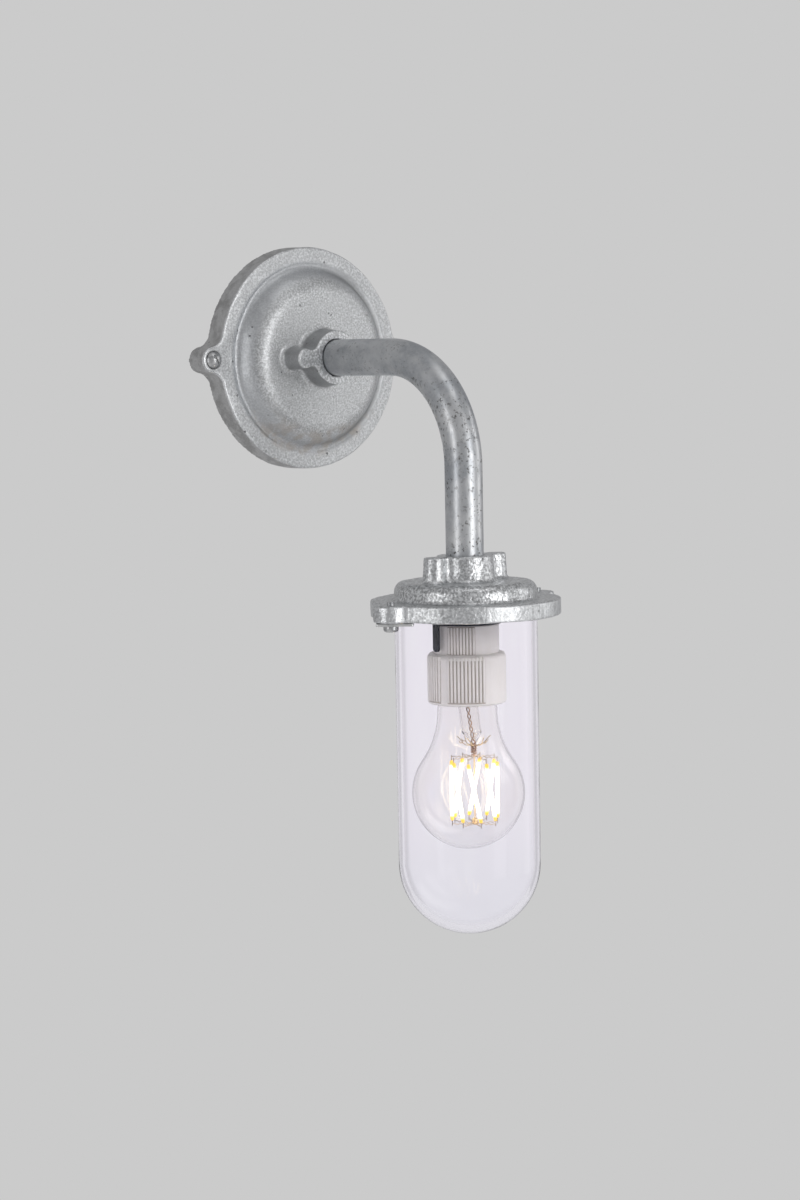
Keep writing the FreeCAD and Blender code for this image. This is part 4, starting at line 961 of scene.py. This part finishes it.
# Curled supports at the stem's foot, and the rod down to a knot of wire.
def supportWires(count, first, wire, foot, reach, under, rise, curve, wave, waves, sway, sways, steps, twigAt,
                 twig):
    curl = []
    for step in range(steps + 1):
        share = step / steps
        level = stem["pinch"] - under + rise * share ** curve + wave * sin(share * waves)
        curl.append(Vector((foot + (reach - foot) * share, sway * sin(share * sways), level)))
    twig = [curl[twigAt]] + [curl[twigAt] + Vector(aside) for aside in twig]
    arm = joined("arm", [swept("arm", line, wire, "gold_wire", 6) for line in (curl, twig)])
    arms = setRound(arm, "support_wires", "gold_wire", cageAxis, count, fullTurn / count, first)
    middle = [onStem(0, 0, level) / mm for level in (stem["foot"] + 0.5, stem["bottom"])]
    rod = swept("rod", middle, stem["rodWire"], "gold_wire")
    loops = helix(stem["knot"], stem["bottom"] + 2.4, stem["bottom"] - 0.6, stem["knotTurns"], 0.2)
    knot = swept("bottomKnot", loops, stem["knotWire"], "gold_wire")
    piece = joined("support_wires_gold", [arms, rod, knot])
    finishPiece(piece, "frame_wire", "lamp", finish="gold_wire", sharp=60)


# The lit strips, each with a kinked spoke and a hooked lead at both ends.
def filamentCage():
    rise = cage["length"] / 2
    start = aroundCage(cage["turnDegrees"], cage["middle"] + rise)
    end = aroundCage(cage["turnDegrees"] + cage["twistDegrees"], cage["middle"] - rise)
    around = (cageAxis, cage["count"], fullTurn / cage["count"])
    strip = roundedBar(start, end, cage["stripRadius"], sides=20)
    finishPiece(setRound(strip, "filament_strips", "filament", *around), "filament", "lamp", "filaments")
    wires = []
    for spot, side in ((start, 1), (end, -1)):
        corner = Vector((spot.x, spot.y, spot.z + side * cage["lead"]))
        hub = Vector((*(corner.xy.normalized() * cage["hub"]), corner.z + side * cage["hubRise"]))
        hook = corner + Vector((0, 0, side * cage["hook"]))
        wires.append(swept("spoke", kinkedSpoke(hub, corner), cage["wire"], "frame_wire", 6))
        wires.append(swept("lead", [hook, corner, spot], cage["leadWire"], "frame_wire", 6))
    wires = setRound(joined("wire", wires), "filament_frame_wires", "frame_wire", *around)
    finishPiece(wires, "frame_wire", "lamp", "filament_frame")


filamentGlow()
stemFlare(**stem)
stemWires()
supportWires(**support)
filamentCage()
print("filament cage made")

# Small fittings keep their drawn shape, with their corners eased.
ease = {"bevel": 0.18, "segments": 2, "sharp": 35, "merge": 0.02}
fittings = {  # the slot and the body of each
    "wall_screws": ("zinc_screw", "mount_and_head"), "clip_screws": ("zinc_screw", "glass_unit"),
    "bracket_screws": ("zinc_screw", "mount_and_head"), "glass_clip_left": ("zinc_clip", "left_clip"),
    "glass_clip_right": ("zinc_clip", "right_clip"), "lampholder_bracket": ("dark_strip", "mount_and_head"),
}
kept = {  # the finishes of the pieces that stay as the CAD drew them
    "black_nylon": "edge_bushes", "gasket_rubber": "glass_gasket", "porcelain": "holder_insert",
    "brass": "screw_shell centre_contact holder_clamps terminal_bars earth_screw",
    "zinc_screw": "holder_clamp_screws terminal_screws block_screws", "zinc_clip": "earth_tag",
    "white_nylon": "terminal_block", "brown_sleeve": "live_wire", "blue_sleeve": "neutral_wire",
    "earth_sleeve": "earth_wire", "nickel_cap": "lamp_cap", "black_glass": "cap_insulator",
    "solder": "cap_contact", "driver_board": "lamp_driver",
}

for node, (slotName, body) in fittings.items():
    name = node + "_eased"
    piece = newObject(name, nodes[node].data.copy())
    tidyMesh(piece.data, ease["merge"])
    easing = piece.modifiers.new("ease", "BEVEL")
    easing.width = ease["bevel"] * mm
    easing.segments = ease["segments"]
    easing.limit_method = "ANGLE"
    easing.angle_limit = radians(ease["sharp"])
    finishPiece(plainCopy(piece, name), slotName, body, node, sharp=ease["sharp"])
for finish, names in kept.items():
    for node in names.split():
        dress(nodes[node], finish)
print("fittings dressed")

# The studio: pale floor and air, soft lamps and the camera that took the picture.
studio = {
    "air": rgb(0.597, 0.597, 0.597), "fill": rgb(0.62, 0.62, 0.63), "fillStrength": 0.68, "floorLevel": -1.3,
    "floorRadius": 2.4, "floorSides": 96, "floorKeep": 0.1, "floorTone": rgb(0.97, 0.97, 0.97),
}
# Seen in the glass: panels all round, with darker gaps that draw its edges, and a bright high side.
glassAir = {"tone": rgb(0.82, 0.8, 0.85), "gap": rgb(0.6, 0.585, 0.625), "panels": 8, "turn": 45.0,
            "bright": rgb(2.4, 2.36, 2.3), "brightTurn": -62.0, "brightOver": (120, 400)}
softboxes = (  # name, place, width, height and watts
    ("front", (0.4, -2.7, 0.0), 1.0, 2.2, 19.0),
    ("left", (-2.4, -0.2, 0.0), 0.5, 2.2, 8.0),
    ("right", (2.0, -1.15, 0.1), 0.7, 2.0, 5.5),
    ("top", (0.1, -0.9, 2.0), 1.2, 1.2, 4.0),
)
aim = Vector((0, -0.1, -0.1))
view = {"eye": (-0.923878, -1.198294, 0.005770), "lens": 80.098, "azimuth": -39.761, "pitch": 5.434,
        "roll": -1.051}


# What lights the part, what the glass shows instead, and what the camera sees.
def seenApart(lit, inGlass, seen, keep=1.0):
    ray = lit.add("ShaderNodeLightPath", out="Is Camera Ray")
    through = lit.add("ShaderNodeLightPath", out="Is Transmission Ray")
    mixed = lit.add("ShaderNodeMixShader", {0: through * keep, 1: lit, 2: inGlass})
    return lit.add("ShaderNodeMixShader", {0: ray * keep, 1: mixed, 2: seen})


def glassPanels(outward):
    bearing = outward.part("Y").maths("ARCTAN2", outward.part("X"))
    panel, bright = [bearing - radians(glassAir[turn]) for turn in ("turn", "brightTurn")]
    panel = (panel * glassAir["panels"]).maths("COSINE").above(-0.95, 0.0)
    bright = bright.maths("COSINE").above(0.0, 0.6) * outward.part("Z").above(*glassAir["brightOver"])
    return panel.blend(glassAir["gap"], bright.blend(glassAir["tone"], glassAir["bright"]))


def paleAir():
    world = bpy.data.worlds.new("pale_air")
    bpy.context.scene.world = world
    start = clearedTree(world)
    panels = glassPanels(start.add("ShaderNodeTexCoord", out="Generated"))
    tones = ((studio["fill"], studio["fillStrength"]), (panels, 1.0), (studio["air"], 1.0))
    mixed = seenApart(*[start.add("ShaderNodeBackground", {"Color": tone, "Strength": strength})
                        for tone, strength in tones])
    start.add("ShaderNodeOutputWorld", {"Surface": mixed})


def paleFloor():
    finishes["pale_floor"] = bpy.data.materials.new("pale_floor")
    start = clearedTree(finishes["pale_floor"])
    matt = start.add("ShaderNodeBsdfDiffuse", {"Color": studio["floorTone"]})
    inGlass, seen = [start.add("ShaderNodeEmission", {"Color": tone, "Strength": 1.0})
                     for tone in (glassAir["tone"], studio["air"])]
    mixed = seenApart(matt, inGlass, seen, 1 - studio["floorKeep"])
    start.add("ShaderNodeOutputMaterial", {"Surface": mixed})
    radius, sides = studio["floorRadius"], studio["floorSides"]
    angles = [fullTurn * side / sides for side in range(sides)]
    verts = [(radius * cos(a), radius * sin(a) - armReach * mm, studio["floorLevel"]) for a in angles]
    floor = newPiece("pale_floor", verts, [range(sides)])
    dress(floor, "pale_floor")


def softLamps():
    for name, place, *sizes in softboxes:
        light = bpy.data.lights.new(name, "AREA")
        light.shape = "RECTANGLE"
        light.size, light.size_y, light.energy = sizes
        softbox = newObject(name, light)
        softbox.location = place
        softbox.rotation_euler = (aim - Vector(place)).to_track_quat("-Z", "Y").to_euler()
        softbox.visible_transmission = False  # no white sheet behind the glass


def pictureCamera(eye, lens, **degreesOf):
    azimuth, pitch, roll = map(radians, degreesOf.values())
    ahead = Vector((-sin(azimuth) * cos(pitch), cos(azimuth) * cos(pitch), -sin(pitch)))
    right = Vector((cos(azimuth), sin(azimuth), 0))
    up = right.cross(ahead)
    across = right * cos(roll) + up * sin(roll)
    upright = up * cos(roll) - right * sin(roll)
    data = bpy.data.cameras.new("picture")
    data.lens = lens
    camera = newObject("picture", data)
    turn = Matrix((across, upright, -ahead)).transposed().to_4x4()
    camera.matrix_world = Matrix.Translation(eye) @ turn
    bpy.context.scene.camera = camera


paleAir()
paleFloor()
softLamps()
pictureCamera(**view)
bpy.context.scene.view_settings.view_transform = "Standard"
print("studio set")
